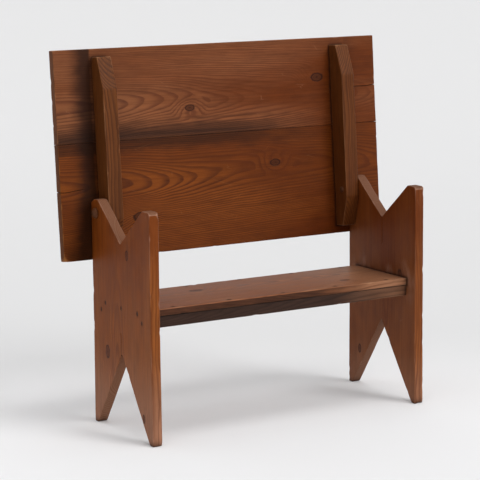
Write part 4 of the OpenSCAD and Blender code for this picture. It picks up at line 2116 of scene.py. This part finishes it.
@dataclass
class PivotPin:
    """A turned pin that the top swings on.

    Attributes:
        node: The node that it stands for.
        outward: 1 where its head faces right and -1 where it faces left.
        finish: Its wood.
        shank_d: Diameter of its shank.
        head_d: Diameter of its head.
        rim_t: Thickness of the head's rim.
        dome_h: Rise of the head's dome.
        turns: How many facets it has round its axis.
    """

    node: str
    outward: int
    finish: WoodFinish
    shank_d: float = 19 * MM
    head_d: float = 32 * MM
    rim_t: float = 5 * MM
    dome_h: float = 7 * MM
    turns: int = 72

    # Roundings of the tip, the collar and the head's rim: how far along the axis from the edge, and how far
    # inside the full radius, in metres
    TIP = ((0.0, 0.002), (0.0007, 0.0011), (0.002, 0.0))
    COLLAR = ((0.0, 0.0012), (0.0006, 0.0003), (0.0014, 0.0))
    RIM = ((-0.0022, 0.0), (-0.0012, 0.0004), (-0.0008, 0.0014), (-0.0002, 0.0015))
    DOME_STEPS = 12

    # How far inside the head's radius the dome starts, in metres
    DOME_IN = 0.0016

    # How far the pin is out of round, as a share of its radius, how many lobes it has, and how fast they turn
    LOBE = 0.006
    LOBES = 3
    LOBE_TURN = 90

    # How worn the rim and the dome are, how dark the neck is and how pale the dome's middle is
    RIM_WEAR = 0.7
    DOME_WEAR = 0.25
    NECK_DARK = 0.8
    CROWN = 1.6

    def build(self) -> bpy.types.Object:
        """Turns the pin from its profile.

        Returns:
            The pin, a little out of round as old wood is.
        """
        low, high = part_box(self.node)
        tip, crown = (low.x, high.x) if self.outward > 0 else (high.x, low.x)
        length = abs(crown - tip)
        profile = np.array(self._profile(length))
        angles = np.linspace(0, 2 * math.pi, self.turns, endpoint=False)
        rings = []
        for place, radius in profile:
            wobble = radius * (1 + self.LOBE * np.sin(self.LOBES * angles + place * self.LOBE_TURN))
            x = np.full(self.turns, tip + self.outward * place)
            rings.append(np.stack([
                x, SWING.pivot.y + wobble * np.cos(angles), SWING.pivot.z + wobble * np.sin(angles)], 1))
        count = self.turns
        last = (len(profile) - 1) * count
        faces = []
        for row in range(0, last, count):
            for turn in range(count):
                beside = (turn + 1) % count
                faces.append((row + turn, row + beside, row + count + beside, row + count + turn))
        faces.append(tuple(range(count)))
        faces.append(tuple(range(last, last + count)))
        pin = solid(f"{self.node}_wood", np.concatenate(rings), faces)
        self._mask(pin.data, profile, length)
        pin.data.materials.append(self.finish.build())
        return pin

    def _profile(self, length: float) -> list[tuple[float, float]]:
        """Lists places along the pin's axis and its radius there.

        Args:
            length: The pin's length.

        Returns:
            Pairs of a place from the pin's tip and a radius, in metres.
        """
        shank = self.shank_d / 2
        head = self.head_d / 2
        rim = length - self.dome_h
        neck = rim - self.rim_t
        tip = [(0.0, shank * 0.2), *[(along, shank - inward) for along, inward in self.TIP]]
        body = [(neck * share, shank) for share in (0.25, 0.5, 0.75)]
        collar = [(neck, shank), *[(neck + along, head - inward) for along, inward in self.COLLAR]]
        bead = [(rim + along, head - inward) for along, inward in self.RIM]
        sphere = (head ** 2 + self.dome_h ** 2) / (2 * self.dome_h)
        dome = []
        for step in range(1, self.DOME_STEPS):
            radius = (head - self.DOME_IN) * (1 - step / self.DOME_STEPS)
            rise = math.sqrt(sphere ** 2 - radius ** 2) - (sphere - self.dome_h)
            dome.append((rim + rise, radius))
        return [*tip, *body, *collar, *bead, *dome]

    def _mask(self, mesh: bpy.types.Mesh, profile: Array, length: float) -> None:
        """Keeps the pin's wear, its darker neck and its cut ends on its mesh.

        Args:
            mesh: The pin's mesh.
            profile: Its profile.
            length: Its length.
        """
        place = np.repeat(profile[:, 0], self.turns)
        radius = np.repeat(profile[:, 1], self.turns)
        rim = length - self.dome_h
        neck = rim - self.rim_t
        dome = place > rim
        crown = dome * (1 - 2 * radius / self.head_d) * self.CROWN
        write_mask(mesh, "wear", bell(place - rim, self.DOME_IN) * self.RIM_WEAR + dome * self.DOME_WEAR)
        write_mask(mesh, "dirt_and_shade", fading(np.abs(place - neck), MM) * self.NECK_DARK)
        write_mask(mesh, "cut_end", np.clip(crown + (place < 0.5 * MM), 0, 1))


# Studio

class Studio:
    """The pale floor, the lamps and the camera."""

    EYE = Vector((-3.1136, -5.0800, 1.5342))
    YAW = math.radians(31.087)
    PITCH = math.radians(-9.536)
    ROLL = math.radians(-0.50)
    FOCAL_PIXELS = 1971.6
    FRAME_PIXELS = 480
    SENSOR = 36.0
    FAR = 100.0
    LAMP_SPREAD = math.radians(25)

    # The floor's reach to the front and the sides and behind the bench, its bend's radius and its height
    FLOOR_WIDE = 80.0
    FLOOR_BACK = 5.0
    FLOOR_BEND = 3.0
    FLOOR_RISE = 9.0

    # The floor's own tone, its glow's tone, where the glow sets in from front to back and its greatest share,
    # and the room's tone as a light and as a backdrop
    PAPER = tone(238, 238, 239)
    GLOW = tone(213, 213, 213)
    GLOW_FROM, GLOW_TO, GLOW_SHARE = -0.2, 1.2, 0.54
    ROOM_LIGHT = tone(205, 205, 205)
    BACKDROP = tone(236, 236, 236)

    # Each lamp's place round the bench from the front towards the right and its height, in degrees, and its
    # light on a surface that faces it, in watts per square metre
    LAMPS = {"key": (30, 38, 0.98), "window": (15, 15, 0.36), "overhead": (10, 80, 0.68)}

    def camera(self) -> None:
        """Sets the camera at the photograph's place and angle."""
        data = bpy.data.cameras.new("camera")
        data.sensor_width = self.SENSOR
        data.sensor_fit = "HORIZONTAL"
        data.lens = self.FOCAL_PIXELS / self.FRAME_PIXELS * self.SENSOR
        data.clip_end = self.FAR
        level_share = math.cos(self.PITCH)
        forward = Vector((
            math.sin(self.YAW) * level_share, math.cos(self.YAW) * level_share, math.sin(self.PITCH)))
        right = Vector((math.cos(self.YAW), -math.sin(self.YAW), 0))
        up = right.cross(forward)
        turn = Matrix((right, up, -forward)).transposed() @ Matrix.Rotation(self.ROLL, 3, "Z")
        camera = bpy.data.objects.new("camera", data)
        camera.matrix_world = Matrix.Translation(self.EYE) @ turn.to_4x4()
        bpy.context.scene.collection.objects.link(camera)
        bpy.context.scene.camera = camera

    def floor(self) -> None:
        """Lays the pale floor, which sweeps up far behind the bench."""
        bend, back, wide = self.FLOOR_BEND, self.FLOOR_BACK, self.FLOOR_WIDE
        profile = [(-wide, 0.0), (back, 0.0)]
        for turn in np.linspace(0, math.pi / 2, 17)[1:]:
            profile.append((back + bend * math.sin(turn), bend - bend * math.cos(turn)))
        profile.append((back + bend, self.FLOOR_RISE))
        points = [(x, y, z) for x in (-wide, wide) for y, z in profile]
        count = len(profile)
        faces = [(step, count + step, count + step + 1, step + 1) for step in range(count - 1)]
        mesh = bpy.data.meshes.new("floor")
        mesh.from_pydata(points, [], faces)
        mesh.shade_smooth()
        mesh.materials.append(self._paper())
        floor = bpy.data.objects.new("floor", mesh)
        floor.rotation_euler = (0, 0, -self.YAW)
        bpy.context.scene.collection.objects.link(floor)

    def _paper(self) -> bpy.types.Material:
        """Builds the floor's pale matt surface, which keeps shadows and still looks near white.

        Returns:
            The material.
        """
        graph = Graph(bpy.data.materials.new("pale_paper"))
        seen = graph.shown()
        matt = graph.node("ShaderNodeBsdfDiffuse", None, {"Color": (*self.PAPER, 1.0)})
        glow = graph.node("ShaderNodeEmission", None, {"Color": (*self.GLOW, 1.0), "Strength": 1.0})
        place = graph.node("ShaderNodeTexCoord", None, None, "Object")
        back = graph.node("ShaderNodeSeparateXYZ", None, {0: place}, "Y")
        share = seen * back.ease(self.GLOW_FROM, self.GLOW_TO, 0.0, self.GLOW_SHARE)
        return graph.finish(graph.node("ShaderNodeMixShader", None, {0: share, 1: matt, 2: glow}))

    def lamp(self, name: str, around: float, up: float, power: float) -> bpy.types.Object:
        """Hangs a wide soft lamp so far off that it lights the bench and the floor evenly.

        Args:
            name: The lamp's name.
            around: Its place round the bench from the front towards the right, in degrees.
            up: Its height, in degrees.
            power: Its light on a surface that faces it, in watts per square metre.

        Returns:
            The lamp.
        """
        data = bpy.data.lights.new(name, "SUN")
        data.angle = self.LAMP_SPREAD
        data.energy = power
        turn = Matrix.Rotation(math.radians(around), 3, "Z") @ Matrix.Rotation(-math.radians(up), 3, "X")
        lamp = bpy.data.objects.new(name, data)
        lamp.rotation_euler = (turn @ Vector((0, 1, 0))).to_track_quat("-Z", "Y").to_euler()
        bpy.context.scene.collection.objects.link(lamp)
        return lamp

    def room(self) -> None:
        """Lights the room softly from all sides, and shows it as pale as the floor."""
        graph = Graph(bpy.data.worlds.new("soft_room"))
        shade = graph.mix(graph.shown(), self.ROOM_LIGHT, self.BACKDROP)
        bpy.context.scene.world = graph.finish(graph.node("ShaderNodeBackground", None, {"Color": shade}))

    def build(self) -> None:
        """Builds the whole studio."""
        self.camera()
        self.floor()
        self.room()
        for name, (around, up, power) in self.LAMPS.items():
            self.lamp(name, around, up, power)
        bpy.context.scene.view_settings.view_transform = "Standard"


def end_nails(side: str) -> tuple[NailRow, NailRow]:
    """Gives the two rows of nails that are driven through the left or the right plank end."""
    outward = LEFT if side == "left" else RIGHT
    return tuple(NailRow(f"{side}_{part}_nails", outward, UP, END_NAIL_L) for part in ("seat", "rail"))


def build_ends() -> None:
    """Builds the two plank ends."""
    left = PlankEnd(
        "left_end",
        WoodFinish(
            "left_end_pine", "left_end", END_TONES, Grain.UP_THE_END, (0.02, -0.045), 3.0,
            knots=(Knot(-0.11, 0.09, 0.011), Knot(0.2, -0.04, 0.008), Knot(-0.27, -0.13, 0.007)),
            # The end's pale lower part is a painted reflection of the pale floor.
            turning=(0.0, 0.3), painted_light=(-0.34, -0.05, 0.6)),
        end_nails("left"),
        (Split(across=0.004, at_high_end=False, length=0.07),), 11)
    right = PlankEnd(
        "right_end",
        WoodFinish(
            "right_end_pine", "right_end", SHADED_RIGHT_END_TONES, Grain.UP_THE_END, (-0.03, 0.045), 8.0,
            knots=(Knot(0.05, -0.1, 0.012), Knot(-0.22, 0.12, 0.008)),
            # The end's pale lower part is a painted reflection of the pale floor.
            turning=(0.0, 0.3), painted_light=(-0.34, -0.16, 0.34)),
        end_nails("right"),
        (Split(across=-0.003, at_high_end=True, length=0.09),), 13)
    for end in (left, right):
        hand_over(end.build(), "base", "ends_wood", [end.node])


def build_seat(nails: NailRow) -> None:
    """Builds the seat board and its rails.

    Args:
        nails: The nails from the seat board into the rails.
    """
    seat = Seat(
        WoodFinish(
            "seat_pine", "seat_board", SEAT_TONES, Grain.ALONG_FLAT, (0.04, -0.09), 17.0,
            knots=(Knot(-0.2, 0.05, 0.012), Knot(0.27, -0.06, 0.009)), scuffs=0.9,
            # The seat's pale right end is painted light.
            painted_light=(0.42, 0.12, 0.45)),
        (
            WoodFinish(
                "front_rail_pine", "front_rail", RAIL_TONES, Grain.ALONG_UPRIGHT, (0.03, -0.05), 23.0,
                # The front rail's pale right end is painted light.
                painted_light=(0.42, 0.16, 0.75)),
            WoodFinish("back_rail_pine", "back_rail", RAIL_TONES, Grain.ALONG_UPRIGHT, (-0.03, 0.06), 27.0),
        ),
        nails)
    slots = {"seat_board": "seat_wood", "front_rail": "rail_wood", "back_rail": "rail_wood"}
    for node, piece in seat.build().items():
        hand_over(piece, "base", slots[node], [node])


def build_top(nails: tuple[NailRow, ...]) -> None:
    """Builds the table top and its cleats.

    Args:
        nails: The nails through the boards into the cleats.
    """
    lean = SWING.lean
    top = TableTop(
        (
            WoodFinish(
                "lower_board_pine", "lower_top_board", LOWER_TONES, Grain.ALONG_UPRIGHT, (0.05, -0.09),
                31.0, lean=lean,
                knots=(Knot(-0.31, -0.06, 0.013), Knot(0.18, 0.07, 0.01), Knot(0.44, -0.1, 0.008)),
                stain=Stain(0.175, 0.037, -0.38, 0.42, 0.75), scuffs=0.8, turning=(0.0, 0.45)),
            WoodFinish(
                "upper_board_pine", "upper_top_board", UPPER_TONES, Grain.ALONG_UPRIGHT, (-0.03, -0.11),
                37.0, lean=lean,
                knots=(Knot(0.35, 0.02, 0.012), Knot(-0.12, -0.05, 0.009)),
                stain=Stain(-0.14, 0.05, -0.38, 0.42, 0.85), scuffs=0.8, turning=(-0.1, 0.4),
                # The upper board's pale left part is a painted sheen of the varnish.
                painted_light=(-0.4, 0.1, 0.08)),
        ),
        tuple(
            WoodFinish(f"{node}_pine", node, CLEAT_TONES, Grain.UP_THE_CLEAT, heart, seed, lean)
            for node, heart, seed in (
                ("left_cleat", (0.03, 0.05), 43.0), ("right_cleat", (-0.04, 0.06), 47.0))),
        nails)
    for node, piece in top.build().items():
        hand_over(piece, "table_top", "cleat_wood" if "cleat" in node else "top_wood", [node])


def build_pins() -> None:
    """Builds the two pivot pins."""
    for side, outward in (("left", -1), ("right", 1)):
        node = f"{side}_pivot_pin"
        finish = WoodFinish(
            f"{side}_pin_maple", node, PIN_TONES, Grain.ALONG_FLAT, (0.02, 0.03), 60.0 + outward,
            ring=0.003)
        hand_over(PivotPin(node, outward, finish).build(), f"{side}_pin", "pin_wood", [node])


def main() -> None:
    """Builds the bench table's pieces in order, then the studio."""
    logging.basicConfig(level=logging.INFO, format="%(name)s: %(message)s")
    seat_nails = NailRow("seat_rail_nails", UP, RIGHT, SEAT_NAIL_L)
    top_nails = tuple(
        NailRow(f"{side}_cleat_nails", SWING.outward, RIGHT, TOP_NAIL_L, "table_top")
        for side in ("left", "right"))
    build_ends()
    build_seat(seat_nails)
    build_top(top_nails)
    build_pins()
    nailing = Nailing(IronFinish())
    for seed, row in enumerate([*end_nails("left"), *end_nails("right"), seat_nails, *top_nails], 1):
        hand_over(nailing.build(row, seed), row.body, "nail_iron", [row.node])
    Studio().build()


if __name__ == "__main__":
    main()
